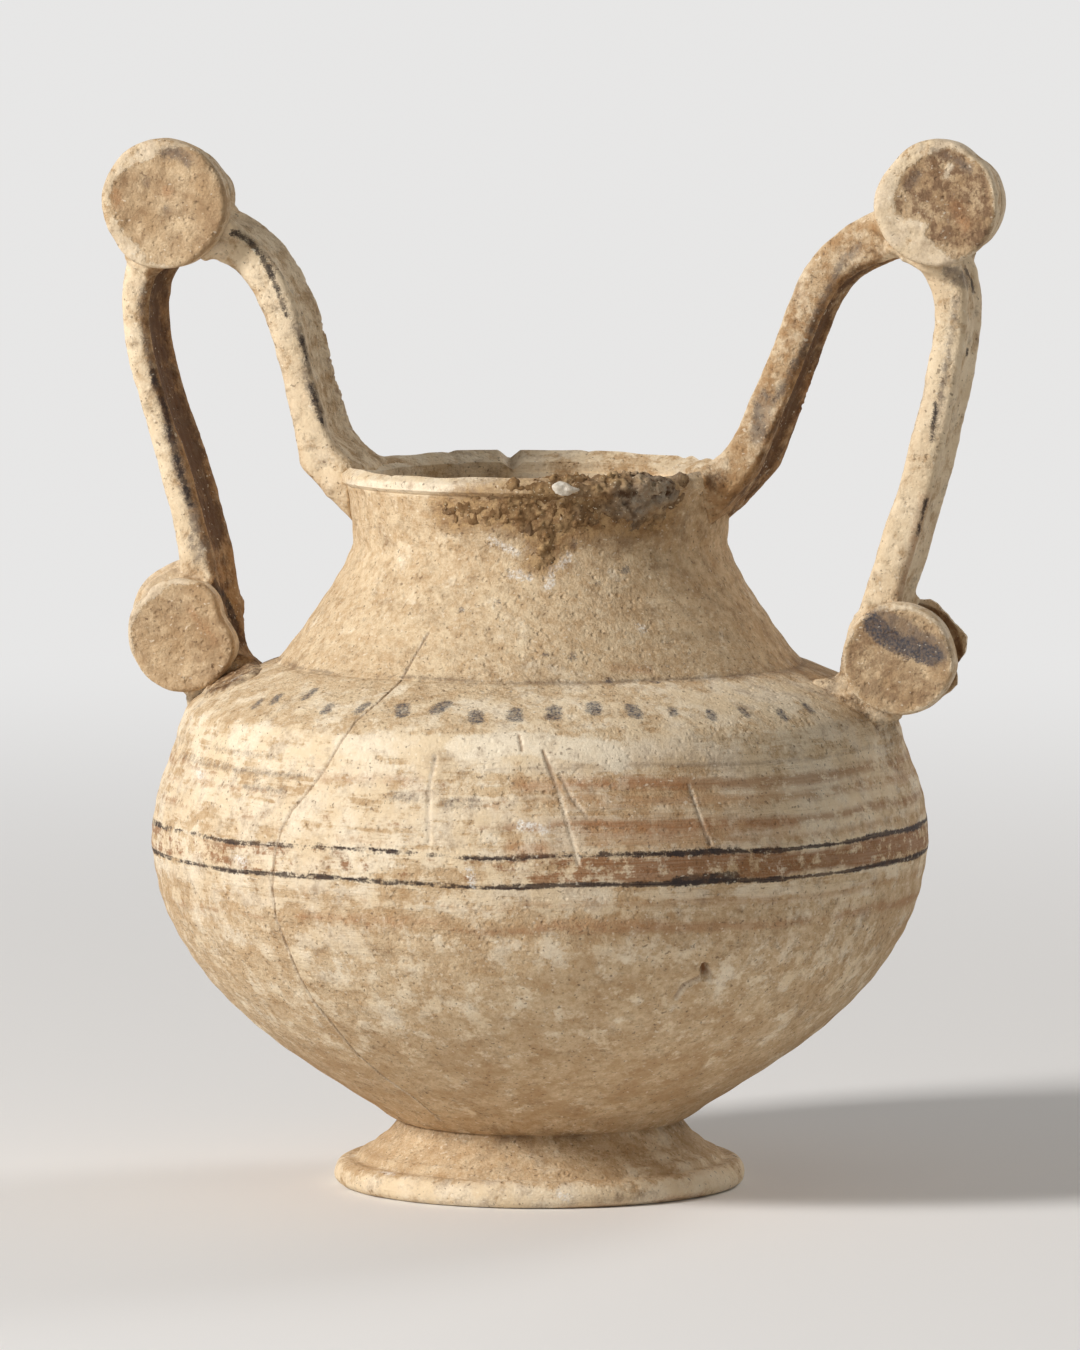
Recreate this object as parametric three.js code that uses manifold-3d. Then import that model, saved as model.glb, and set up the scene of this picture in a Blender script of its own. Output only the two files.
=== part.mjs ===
// Two-handled jar with discs on its handles, in fired clay.
// Units are millimetres, +Z is up, the front faces -Y and the handles stand on the X axis.
// The origin is the centre of the disc foot's flat underside, on the axis of the jar.
// The thrown pieces (foot, body, neck, rim) are turned about Z and sit face to face.
// The hand-made pieces (straps and discs) are luted on, with a thin film of slip between.

import * as THREE from 'three';
import Module from 'manifold-3d';
import { mergeVertices } from 'three/addons/utils/BufferGeometryUtils.js';

const wasm = await Module();
wasm.setup();

// Heights of the thrown pieces, from the table up
const footHeight = 15.5;
const bellyRise = 68.5;
const shoulderRise = 42;
const neckHeight = 42.5;
const rimHeight = 4.4;

// Outer radii of the thrown pieces
const footRadius = 49.5;
const footTopRadius = 34;
const bellyRadius = 93.4;
const neckBaseRadius = 63;
const rimRadius = 48.2;
const lipOverhang = 1.6;
const waistInset = 1.7;

// Walls and hollows
const wall = 5;
const floorThickness = 6.5;
const shoulderMouthInset = 5.5;
const rimWidth = 7.6;
const boreStep = 0.6;
const slipFilm = 0.3;

// Foot details
const footLipHeight = 5.6;
const footLipRound = 2.6;
const footStepRadius = 38.4;
const footStepHeight = 10.4;
const footStepFall = 1;

// Rim details
const lipDrop = 1;
const lipRound = 1;
const crestInset = 2.4;
const funnelDrop = 2.2;

// Straps
const strapWidth = 22;
const strapThickness = 8;
const strapEdgeRound = 2;
const handleRise = 54;
const leftReach = 50;
const rightReach = 54;
const seatSink = 6;

// Spread roots, where a strap is pressed onto the rim and runs back to the neck
const rootSpread = 29;
const rootTipWidth = 17;
const rootTaper = 18;
const rootOverhang = 8;
const rootDepth = 15;
const rootLap = 6;
const rootCrest = 0.8;

// Discs
const upperDiscRadius = 15.5;
const lowerDiscRadius = 13.7;
const frontDiscThickness = 7;
const rearDiscThickness = 6;
const discEdgeRound = 1.6;
const discDish = 0.8;
const brokenEdgeRadius = 5;

// Fineness of the turned and swept shapes
const turns = 48;
const discTurns = 24;
const wallSteps = 11;
const strapSteps = 28;
const weldDistance = 0.0001;

// Where a strap's middle line meets the shoulder, between the neck's base and the belly
const seatOutShare = 0.576;
const seatUpShare = 0.8214;

const bellyHeight = footHeight + bellyRise;
const bodyTop = bellyHeight + shoulderRise;
const neckTop = bodyTop + neckHeight;
const rimTop = neckTop + rimHeight;
const neckTopRadius = rimRadius - lipOverhang;
const neckWaistRadius = neckTopRadius - waistInset;
const mouthRadius = rimRadius - rimWidth;
const neckBoreRadius = mouthRadius - boreStep;
const shoulderMouthRadius = neckBaseRadius - shoulderMouthInset;
const handleSeatRadius = neckBaseRadius + (bellyRadius - neckBaseRadius) * seatOutShare;
const shoulderSeatHeight = bellyHeight + shoulderRise * seatUpShare;

// Shares of the outward step and of the rise, from the foot's seat out to the belly
const lowerWallShares = [
  [0, 0], [0.239, 0.131], [0.525, 0.301], [0.737, 0.472], [0.88, 0.641], [0.965, 0.81], [1, 1],
];

// Shares of the inward step and of the rise, from the belly to the foot of the neck
const shoulderShares = [
  [1, 0], [0.957, 0.243], [0.891, 0.381], [0.81, 0.54], [0.74, 0.7],
  [0.641, 0.785], [0.493, 0.85], [0.296, 0.921], [0, 1],
];

// Shares of the step from waist to neck base and of the rise, up to the waist
const neckShares = [
  [1, 0], [0.884, 0.059], [0.674, 0.172], [0.497, 0.285], [0.309, 0.4], [0.155, 0.513],
  [0.033, 0.626], [0, 0.718],
];

// The middle line of each strap: shares of the way out, of the rise and of the thickness.
// The outer rows go out and up from the shoulder's seat, and the inner rows from the rim.
const leftOuterShares = [
  [-0.031, 0.06, 1.3], [0.082, 0.18, 1.15], [0.124, 0.275, 1.1], [0.314, 0.41, 0.95],
  [0.475, 0.5, 0.92], [0.706, 0.614, 0.84], [0.859, 0.698, 0.8], [0.958, 0.77, 0.8],
  [1, 0.85, 0.85], [0.901, 0.935, 1], [0.661, 0.99, 1.3],
];
const leftInnerShares = [
  [0.77, 1.055, 1.5], [0.616, 1.017, 1.37], [0.446, 0.928, 1.15], [0.316, 0.77, 1.06],
  [0.24, 0.585, 1.03], [0.174, 0.344, 1], [0.108, 0.131, 0.95],
];
const rightOuterShares = [
  [0.079, 0.06, 1.5], [0.154, 0.17, 1.2], [0.311, 0.275, 1.1], [0.502, 0.4, 1.1],
  [0.657, 0.5, 1.05], [0.826, 0.64, 1.02], [0.918, 0.73, 1.02], [0.98, 0.8, 1],
  [1, 0.88, 1], [0.876, 0.96, 1.15], [0.652, 1.005, 1.35],
];
const rightInnerShares = [
  [0.77, 1.06, 1.5], [0.656, 1.03, 1.5], [0.506, 0.946, 1.3], [0.395, 0.82, 1.15],
  [0.293, 0.576, 1.06], [0.196, 0.335, 1.06], [0.115, 0.126, 1.06],
];

// Discs at the crowns: their side, their face of the strap, shares of the reach and of the
// handle's rise over the rim, and of the largest disc's radius
const upperDiscs = [
  { name: 'left_upper_front_disc', side: -1, face: -1, outShare: 0.812, upShare: 1.155, radiusShare: 1 },
  { name: 'left_upper_rear_disc', side: -1, face: 1, outShare: 0.88, upShare: 1.16, radiusShare: 0.787 },
  { name: 'right_upper_front_disc', side: 1, face: -1, outShare: 0.96, upShare: 1.198, radiusShare: 0.955 },
  { name: 'right_upper_rear_disc', side: 1, face: 1, outShare: 0.915, upShare: 1.178, radiusShare: 0.819 },
];

// Discs at the shoulder: shares of their own radius, out from the seat and up from where
// they would touch the jar, and of the largest disc's radius
const lowerDiscs = [
  { name: 'left_lower_front_disc', side: -1, face: -1, outShare: 0.29, upShare: 0.034, radiusShare: 1 },
  { name: 'left_lower_rear_disc', side: -1, face: 1, outShare: 0.87, upShare: 0.73, radiusShare: 0.985 },
  { name: 'right_lower_front_disc', side: 1, face: -1, outShare: 0.81, upShare: 0.249, radiusShare: 0.978 },
  {
    name: 'right_lower_rear_disc', side: 1, face: 1, outShare: 0.71, upShare: 0.166, radiusShare: 0.905,
    broken: true,
  },
];

// The broken edge of the right lower rear disc, as an angle round the disc
const brokenEdgeAngle = THREE.MathUtils.degToRad(-20);

// Buff clay, paler where the slip lies thick
const footColor = 0xd9bd8f;
const bodyColor = 0xd6b98c;
const neckColor = 0xdcc49a;
const rimColor = 0xe0cca6;
const handleColor = 0xd0b186;
const discColor = 0xcba77d;
const clayRoughness = 0.9;

function clayMaterial(color) {
  return new THREE.MeshStandardMaterial({ color, roughness: clayRoughness, metalness: 0 });
}

function namedMesh(name, geometry, color) {
  const mesh = new THREE.Mesh(geometry, clayMaterial(color));
  mesh.name = name;
  return mesh;
}

// A smooth run of points through hand-chosen ones
function smoothRun(points, steps) {
  return new THREE.SplineCurve(points).getPoints(steps);
}

// A quarter of a round edge about a centre, from one angle to another
function roundEdge(centreX, centreY, radius, fromDegrees, toDegrees, steps = 3) {
  const points = [];
  for (let i = 0; i <= steps; i += 1) {
    const angle = THREE.MathUtils.degToRad(fromDegrees + ((toDegrees - fromDegrees) * i) / steps);
    points.push(new THREE.Vector2(centreX + radius * Math.cos(angle), centreY + radius * Math.sin(angle)));
  }
  return points;
}

// A closed profile, in radius and height, turned about the Z axis
function turned(profile, segments = turns) {
  const geometry = new THREE.LatheGeometry(profile, segments);
  geometry.rotateX(Math.PI / 2);
  return geometry;
}

// The outer line of the body, from the foot's seat to the foot of the neck
function bodyOuterLine() {
  const lower = lowerWallShares.map(([out, up]) => new THREE.Vector2(
    footTopRadius + (bellyRadius - footTopRadius) * out,
    footHeight + bellyRise * up,
  ));
  const upper = shoulderShares.map(([out, up]) => new THREE.Vector2(
    neckBaseRadius + (bellyRadius - neckBaseRadius) * out,
    bellyHeight + shoulderRise * up,
  ));
  return [...smoothRun(lower, wallSteps).slice(0, -1), ...smoothRun(upper, wallSteps)];
}

// The outer line of the neck, from the shoulder to the rim's seat
function neckOuterLine() {
  const points = neckShares.map(([out, up]) => new THREE.Vector2(
    neckWaistRadius + (neckBaseRadius - neckWaistRadius) * out,
    bodyTop + neckHeight * up,
  ));
  points.push(new THREE.Vector2(neckTopRadius, neckTop));
  return smoothRun(points, wallSteps);
}

// A line moved square to itself, towards the axis, or away from it where the distance is negative
function movedInward(line, distance) {
  return line.map((point, i) => {
    const before = line[Math.max(i - 1, 0)];
    const after = line[Math.min(i + 1, line.length - 1)];
    const along = new THREE.Vector2().subVectors(after, before).normalize();
    return new THREE.Vector2(point.x - along.y * distance, point.y + along.x * distance);
  });
}

// The disc foot: a rounded lip below, a small step, and a hollow curve up to the body
function footProfile() {
  return [
    new THREE.Vector2(0, 0),
    ...roundEdge(footRadius - footLipRound, footLipRound, footLipRound, -90, 0),
    ...roundEdge(footRadius - footLipRound, footLipHeight - footLipRound, footLipRound, 20, 80),
    new THREE.Vector2(footStepRadius + footLipRound, footStepHeight - footStepFall),
    new THREE.Vector2(footStepRadius, footStepHeight),
    new THREE.Vector2(footTopRadius, footHeight),
    new THREE.Vector2(0, footHeight),
  ];
}

// The body: a closed bottom, the wall all round and a wide mouth under the neck
function bodyProfile() {
  const outer = bodyOuterLine();
  const floorHeight = footHeight + floorThickness;
  const inner = movedInward(outer, wall).filter((point) => point.y > floorHeight && point.x > 0);
  const ceiling = inner.filter((point) => point.y < bellyHeight || point.x > shoulderMouthRadius);
  const lastInner = ceiling[ceiling.length - 1];
  return [
    new THREE.Vector2(0, footHeight),
    ...outer,
    new THREE.Vector2(shoulderMouthRadius, bodyTop),
    new THREE.Vector2(shoulderMouthRadius, lastInner.y),
    ...ceiling.reverse(),
    new THREE.Vector2(footTopRadius - wall, floorHeight),
    new THREE.Vector2(0, floorHeight),
  ];
}

// The neck: a sleeve that narrows to its waist and flares a little to the rim's seat
function neckProfile() {
  const outer = neckOuterLine();
  const inner = movedInward(outer, wall).filter((point) => point.y > bodyTop && point.y < neckTop);
  const bore = inner.map((point) => new THREE.Vector2(
    Math.min(Math.max(point.x, neckBoreRadius), shoulderMouthRadius),
    point.y,
  ));
  return [
    new THREE.Vector2(shoulderMouthRadius, bodyTop),
    ...outer,
    new THREE.Vector2(neckBoreRadius, neckTop),
    ...bore.reverse(),
    new THREE.Vector2(shoulderMouthRadius, bodyTop),
  ];
}

// The rim: a ring with a rounded lip outside and a funnel falling to the mouth
function rimProfile() {
  return [
    new THREE.Vector2(mouthRadius, neckTop),
    new THREE.Vector2(neckTopRadius, neckTop),
    new THREE.Vector2(rimRadius, neckTop + lipDrop),
    ...roundEdge(rimRadius - lipRound, rimTop - lipRound - lipDrop, lipRound, 0, 60),
    new THREE.Vector2(rimRadius - crestInset, rimTop),
    new THREE.Vector2(mouthRadius, rimTop - funnelDrop),
    new THREE.Vector2(mouthRadius, neckTop),
  ];
}

// A closed solid from a geometry, with its shared corners merged
function toSolid(geometry) {
  const bare = geometry.clone();
  bare.deleteAttribute('normal');
  bare.deleteAttribute('uv');
  const merged = mergeVertices(bare, weldDistance);
  const mesh = new wasm.Mesh({
    numProp: 3,
    vertProperties: new Float32Array(merged.attributes.position.array),
    triVerts: new Uint32Array(merged.index.array),
  });
  return new wasm.Manifold(mesh);
}

// A geometry from a solid
function fromSolid(solid) {
  const mesh = solid.getMesh();
  const geometry = new THREE.BufferGeometry();
  geometry.setAttribute('position', new THREE.BufferAttribute(new Float32Array(mesh.vertProperties), 3));
  geometry.setIndex(new THREE.BufferAttribute(new Uint32Array(mesh.triVerts), 1));
  geometry.computeVertexNormals();
  return geometry;
}

// The space that the thrown pieces and the slip film take, which the straps are cut back from
function seatCutter() {
  const bodyLine = movedInward(bodyOuterLine(), -slipFilm);
  const neckLine = movedInward(neckOuterLine(), -slipFilm).filter((point) => point.y > bodyTop);
  const profile = [
    new THREE.Vector2(0, footHeight),
    ...bodyLine,
    ...neckLine,
    new THREE.Vector2(rimRadius + slipFilm, neckTop + lipDrop - slipFilm),
    new THREE.Vector2(rimRadius + slipFilm, rimTop - lipDrop - lipRound + slipFilm),
    new THREE.Vector2(rimRadius - lipRound + slipFilm, rimTop - lipRound + slipFilm),
    new THREE.Vector2(rimRadius - crestInset, rimTop + slipFilm),
    new THREE.Vector2(mouthRadius, rimTop - funnelDrop + slipFilm),
    new THREE.Vector2(0, rimTop - funnelDrop + slipFilm),
  ];
  return toSolid(turned(profile));
}

// The height of the jar's outside at some distance from the axis, over the belly
function outsideHeightAt(distance) {
  const line = [...bodyOuterLine(), ...neckOuterLine()].filter((point) => point.y >= bellyHeight);
  const next = line.findIndex((point) => point.x <= distance);
  if (next < 1) {
    return bellyHeight;
  }
  const low = line[next - 1];
  const high = line[next];
  return low.y + ((high.y - low.y) * (low.x - distance)) / (low.x - high.x);
}

// The height at which a disc beside a strap would just touch the jar under its edge
function touchingHeight(out, radius) {
  const heights = [];
  for (let i = 0; i <= discTurns; i += 1) {
    const angle = (Math.PI * i) / discTurns;
    const distance = Math.hypot(out + radius * Math.cos(angle), strapWidth / 2);
    heights.push(outsideHeightAt(distance) + radius * Math.sin(angle));
  }
  return Math.max(...heights);
}

// The middle line of a strap, from inside the shoulder over the crown to the rim. The third
// number of each point is half the thickness there.
function strapLine(outerShares, innerShares, reach) {
  const fullRise = rimTop + handleRise - shoulderSeatHeight;
  const outerSpan = rimRadius + reach - handleSeatRadius;
  const half = strapThickness / 2;
  const buried = new THREE.Vector3(
    handleSeatRadius - seatSink / 2,
    shoulderSeatHeight - seatSink,
    strapThickness,
  );
  const points = [buried];
  for (const [out, up, thick] of outerShares) {
    const height = shoulderSeatHeight + fullRise * up;
    points.push(new THREE.Vector3(handleSeatRadius + outerSpan * out, height, half * thick));
  }
  for (const [out, up, thick] of innerShares) {
    points.push(new THREE.Vector3(rimRadius + reach * out, rimTop + handleRise * up, half * thick));
  }
  return new THREE.CatmullRomCurve3(points, false, 'centripetal').getPoints(strapSteps);
}

// One edge of a strap's side view: its middle line moved sideways by half its thickness
function strapEdge(line, side) {
  return line.map((point, i) => {
    const before = line[Math.max(i - 1, 0)];
    const after = line[Math.min(i + 1, line.length - 1)];
    const along = new THREE.Vector2(after.x - before.x, after.y - before.y).normalize();
    return new THREE.Vector2(point.x + along.y * point.z * side, point.y - along.x * point.z * side);
  });
}

// The side view of a strap, with the wedge under its root that runs back to the neck
function strapOutline(line) {
  return new THREE.Shape([
    ...strapEdge(line, 1),
    new THREE.Vector2(rimRadius - rootLap / 2, rimTop + rootCrest * 2),
    new THREE.Vector2(rimRadius - rootLap, rimTop + rootCrest),
    new THREE.Vector2(rimRadius - rootLap, rimTop - rootDepth),
    new THREE.Vector2(rimRadius + rootOverhang, rimTop),
    ...strapEdge(line, -1).reverse(),
  ]);
}

// A flat side view pushed out along Y, centred, with its edges rounded
function pressed(shape, width, edgeRound) {
  const geometry = new THREE.ExtrudeGeometry(shape, {
    depth: width - 2 * edgeRound,
    bevelEnabled: true,
    bevelThickness: edgeRound,
    bevelSize: edgeRound,
    bevelOffset: -edgeRound,
    bevelSegments: 2,
    curveSegments: 1,
  });
  geometry.translate(0, 0, edgeRound - width / 2);
  geometry.rotateX(Math.PI / 2);
  return geometry;
}

// The front view of a spread root, pushed out along X: narrow at its tip under the rim,
// widest at the rim, and back to the strap's width above it
function rootWedge(reach) {
  const tip = rootTipWidth / 2;
  const spread = rootSpread / 2;
  const strap = strapWidth / 2;
  const geometry = new THREE.ExtrudeGeometry(new THREE.Shape([
    new THREE.Vector2(-tip, rimTop - rootDepth),
    new THREE.Vector2(tip, rimTop - rootDepth),
    new THREE.Vector2(spread, rimTop - rimHeight),
    new THREE.Vector2(spread, rimTop + rootCrest),
    new THREE.Vector2(strap, rimTop + rootTaper),
    new THREE.Vector2(-strap, rimTop + rootTaper),
    new THREE.Vector2(-spread, rimTop + rootCrest),
    new THREE.Vector2(-spread, rimTop - rimHeight),
  ]), { depth: rimRadius + reach / 2, bevelEnabled: false });
  geometry.rotateX(Math.PI / 2);
  geometry.rotateZ(Math.PI / 2);
  return geometry;
}

// A whole handle: its strap and spread root, cut back from the jar. It is drawn on the
// right, and turned half round for the left.
function handleGeometry(outerShares, innerShares, reach, side, cutter) {
  const outline = strapOutline(strapLine(outerShares, innerShares, reach));
  const strap = toSolid(pressed(outline, strapWidth, strapEdgeRound));
  const wide = toSolid(pressed(outline, rootSpread, strapEdgeRound));
  const root = wide.intersect(toSolid(rootWedge(reach)));
  const geometry = fromSolid(strap.add(root).subtract(cutter));
  if (side < 0) {
    geometry.rotateZ(Math.PI);
  }
  return geometry;
}

// A hand-pressed disc, dished a little on its face, lying in XY with its seat at zero
function discProfile(radius, thickness) {
  return [
    new THREE.Vector2(0, 0),
    new THREE.Vector2(radius - discEdgeRound, 0),
    ...roundEdge(radius - discEdgeRound, discEdgeRound, discEdgeRound, -45, 0, 1),
    ...roundEdge(radius - discEdgeRound, thickness - discEdgeRound, discEdgeRound, 0, 90, 2),
    new THREE.Vector2(0, thickness - discDish),
  ];
}

// A disc stood against its face of the strap
function discMesh(disc, radius, out, height) {
  const thickness = disc.face < 0 ? frontDiscThickness : rearDiscThickness;
  let geometry = turned(discProfile(radius, thickness), discTurns);
  if (disc.broken) {
    geometry = withBrokenEdge(geometry, radius, thickness);
  }
  const mesh = namedMesh(disc.name, geometry, discColor);
  mesh.rotation.x = (disc.face < 0 ? 1 : -1) * (Math.PI / 2);
  mesh.position.set(disc.side * out, disc.face * (strapWidth / 2 + slipFilm), height);
  return mesh;
}

// A bite out of a disc's edge
function withBrokenEdge(geometry, radius, thickness) {
  const bite = new THREE.CylinderGeometry(brokenEdgeRadius, brokenEdgeRadius, thickness * 3, discTurns);
  bite.rotateX(Math.PI / 2);
  bite.translate(
    (radius + brokenEdgeRadius / 4) * Math.cos(brokenEdgeAngle),
    -(radius + brokenEdgeRadius / 4) * Math.sin(brokenEdgeAngle),
    thickness / 2,
  );
  return fromSolid(toSolid(geometry).subtract(toSolid(bite)));
}

// The whole jar, piece by piece
function buildJar() {
  const jar = new THREE.Group();
  const cutter = seatCutter();
  jar.add(namedMesh('foot', turned(footProfile()), footColor));
  jar.add(namedMesh('body', turned(bodyProfile()), bodyColor));
  jar.add(namedMesh('neck', turned(neckProfile()), neckColor));
  jar.add(namedMesh('rim', turned(rimProfile()), rimColor));
  const left = handleGeometry(leftOuterShares, leftInnerShares, leftReach, -1, cutter);
  const right = handleGeometry(rightOuterShares, rightInnerShares, rightReach, 1, cutter);
  jar.add(namedMesh('left_handle', left, handleColor));
  jar.add(namedMesh('right_handle', right, handleColor));
  for (const disc of upperDiscs) {
    const reach = disc.side < 0 ? leftReach : rightReach;
    const out = rimRadius + reach * disc.outShare;
    jar.add(discMesh(disc, upperDiscRadius * disc.radiusShare, out, rimTop + handleRise * disc.upShare));
  }
  for (const disc of lowerDiscs) {
    const radius = lowerDiscRadius * disc.radiusShare;
    const out = handleSeatRadius + radius * disc.outShare;
    jar.add(discMesh(disc, radius, out, touchingHeight(out, radius) + radius * disc.upShare));
  }
  return jar;
}

export default buildJar();
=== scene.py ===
"""A two-handled jar with discs on its handles, in fired, painted and weathered clay.

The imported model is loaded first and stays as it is. Each of its pieces is replaced here by one
with the same place and outline and the surface of the real pot: turning ridges, worn slip,
painted rings and dots, cracks, chips, luted joints and the earth that is caked on the rim.
Lengths in this file are millimetres, and they become metres where a mesh is written.
"""

import logging
import math
from contextlib import contextmanager
from dataclasses import dataclass, field
from enum import Enum
from itertools import combinations
from typing import Iterable, Iterator, Optional, Sequence, Union

import bpy
import numpy as np
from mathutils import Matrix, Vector, noise
from mathutils.bvhtree import BVHTree


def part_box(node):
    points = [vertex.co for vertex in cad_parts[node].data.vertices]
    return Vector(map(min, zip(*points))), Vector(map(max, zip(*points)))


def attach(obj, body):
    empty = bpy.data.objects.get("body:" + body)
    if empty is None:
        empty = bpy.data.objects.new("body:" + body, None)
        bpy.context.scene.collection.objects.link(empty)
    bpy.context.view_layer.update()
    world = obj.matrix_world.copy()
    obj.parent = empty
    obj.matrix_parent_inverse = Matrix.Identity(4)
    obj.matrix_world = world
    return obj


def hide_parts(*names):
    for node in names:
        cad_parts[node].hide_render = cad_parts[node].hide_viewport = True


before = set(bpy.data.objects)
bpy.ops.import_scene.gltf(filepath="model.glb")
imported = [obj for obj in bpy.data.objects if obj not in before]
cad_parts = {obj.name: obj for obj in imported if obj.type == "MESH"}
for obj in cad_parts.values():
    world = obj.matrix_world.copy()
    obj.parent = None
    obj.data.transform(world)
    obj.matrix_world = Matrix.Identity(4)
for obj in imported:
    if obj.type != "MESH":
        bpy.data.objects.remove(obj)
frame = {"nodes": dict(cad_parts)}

log = logging.getLogger("jar")

Array = np.ndarray
Piece = bpy.types.Object
Wire = bpy.types.NodeSocket
Corner = tuple[float, float]
Pixels = Sequence[Corner]
Color = tuple[float, float, float, float]

PER_METRE = 1000.0
NO_MARK = -9.0
PIXELS_PER_MM = 4.165


class Pigment(Enum):
    """What a mark on the clay is made of."""

    BLACK = "black"
    GREY = "grey"
    OCHRE = "ochre"
    CREAM = "cream"
    LIME = "lime"
    EARTH = "earth"
    BARE = "bare"
    DOT = "dot"


class Layer(Enum):
    """A cover that comes and goes over a whole piece, from 0 to 1."""

    SLIP = "slip"
    WASH = "wash"
    SOIL = "soil"
    PAINT = "paint"
    CUT = "cut"
    STREAK = "streak"
    HAZE = "haze"


BLACK, GREY, OCHRE, CREAM, LIME, EARTH, BARE, DOT = Pigment
SLIP, WASH, SOIL, PAINT, CUT, STREAK, HAZE = Layer


def tone(red: int, green: int, blue: int) -> Color:
    """Turns a colour of 0 to 255, as seen on a screen, into linear light.

    Args:
        red: Red share.
        green: Green share.
        blue: Blue share.

    Returns:
        The linear colour, fully opaque.
    """
    shares = [value / 255.0 for value in (red, green, blue)]
    linear = [v / 12.92 if v <= 0.04045 else ((v + 0.055) / 1.055) ** 2.4 for v in shares]
    return (linear[0], linear[1], linear[2], 1.0)


def eased(values: Array, low: float, high: float) -> Array:
    """Rises smoothly from 0 at the low value to 1 at the high one."""
    share = np.clip((values - low) / (high - low), 0.0, 1.0)
    return share * share * (3.0 - 2.0 * share)


def swell(values: Array, centre: float, reach: float) -> Array:
    """A soft hump of height 1 around a centre, which spreads by its reach to each side."""
    return np.exp(-(((values - centre) / reach) ** 2))


def lumps(points: Array, size: float, shift: float, octaves: int = 3) -> Array:
    """Soft noise at places, about -1 to 1, with lumps of a size, in a field of its own shift."""
    places = (points / size + shift).tolist()
    return np.array([noise.fractal(place, 1.0, 2.0, octaves) for place in places])


def pick(*pieces: Piece) -> None:
    """Selects only these pieces and makes the last one active."""
    bpy.ops.object.select_all(action="DESELECT")
    for piece in pieces:
        piece.select_set(True)
    bpy.context.view_layer.objects.active = pieces[-1]


@contextmanager
def editing(piece: Piece, kind: str = "VERT", everything: bool = True) -> Iterator[None]:
    """Opens a piece in edit mode for a while.

    Args:
        piece: The piece to open.
        kind: The select mode, of vertices, edges or faces.
        everything: Whether all of the mesh is selected at first.
    """
    pick(piece)
    bpy.ops.object.mode_set(mode="EDIT")
    bpy.ops.mesh.select_mode(type=kind)
    if everything:
        bpy.ops.mesh.select_all(action="SELECT")
    try:
        yield
    finally:
        bpy.ops.object.mode_set(mode="OBJECT")


def points_of(piece: Piece) -> Array:
    """The places of a piece's vertices, in millimetres."""
    flat = np.empty(len(piece.data.vertices) * 3, np.float32)
    piece.data.vertices.foreach_get("co", flat)
    return flat.reshape(-1, 3).astype(np.float64) * PER_METRE


def put_points(piece: Piece, points: Array) -> None:
    """Moves a piece's vertices to places in millimetres."""
    piece.data.vertices.foreach_set("co", (points / PER_METRE).astype(np.float32).ravel())
    piece.data.update()


def normals_of(piece: Piece) -> Array:
    """The directions that a piece's vertices face."""
    flat = np.empty(len(piece.data.vertices) * 3, np.float32)
    piece.data.vertices.foreach_get("normal", flat)
    return flat.reshape(-1, 3).astype(np.float64)


def radius_of(points: Array) -> Array:
    """How far places lie from the jar's axis."""
    return np.hypot(points[:, 0], points[:, 1])


def write_layer(piece: Piece, kind: Enum, values: Array) -> None:
    """Keeps one number for each vertex of a piece under a name that its material reads."""
    layer = piece.data.attributes.get(kind.value)
    if layer is None:
        layer = piece.data.attributes.new(kind.value, "FLOAT", "POINT")
    layer.data.foreach_set("value", values.astype(np.float32))


def tidy_mesh(piece: Piece, weld: float = 0.002) -> None:
    """Merges the vertices of a piece that lie within the weld, and turns its faces outwards."""
    with editing(piece):
        bpy.ops.mesh.remove_doubles(threshold=weld / PER_METRE)
        bpy.ops.mesh.normals_make_consistent(inside=False)


def smooth_shading(piece: Piece, degrees: float = 42.0) -> None:
    """Shades a piece smooth, apart from its corners."""
    pick(piece)
    bpy.ops.object.shade_smooth_by_angle(angle=math.radians(degrees))


def modified(piece: Piece, kind: str, **settings: object) -> None:
    """Adds a modifier to a piece and applies it.

    Args:
        piece: The piece to change.
        kind: The modifier's type.
        **settings: The modifier's own settings.
    """
    modifier = piece.modifiers.new(kind.lower(), kind)
    for name, value in settings.items():
        setattr(modifier, name, value)
    pick(piece)
    bpy.ops.object.modifier_apply(modifier=modifier.name)


def add_balls(piece: Piece, balls: Iterable[tuple[Vector, float]], subdivisions: int) -> None:
    """Adds balls to the mesh of a piece.

    Args:
        piece: The piece.
        balls: The middle and the radius of each ball, in millimetres.
        subdivisions: How finely the balls are divided.
    """
    with editing(piece, everything=False):
        for middle, radius in balls:
            bpy.ops.mesh.select_all(action="DESELECT")
            bpy.ops.mesh.primitive_ico_sphere_add(
                subdivisions=subdivisions, radius=radius / PER_METRE, location=middle / PER_METRE)


def hand_over(piece: Piece, material: bpy.types.Material, slot: str, *nodes: str) -> None:
    """Gives a finished piece its material, and the nodes that it stands for.

    Args:
        piece: The piece.
        material: Its material.
        slot: Not used.
        *nodes: The nodes that it replaces.
    """
    piece.data.materials.append(material)
    if nodes:
        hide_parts(*nodes)
    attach(piece, "root")
    log.info("%s: %d vertices", piece.name, len(piece.data.vertices))


def copy_of(node: str, name: str) -> Piece:
    """A new piece with the merged mesh of a node.

    Args:
        node: The node's name.
        name: The new piece's name.

    Returns:
        The new piece, at the origin.
    """
    piece = bpy.data.objects.new(name, frame["nodes"][node].data.copy())
    piece.data.name = name
    piece.data.materials.clear()
    bpy.context.scene.collection.objects.link(piece)
    tidy_mesh(piece)
    return piece


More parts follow.
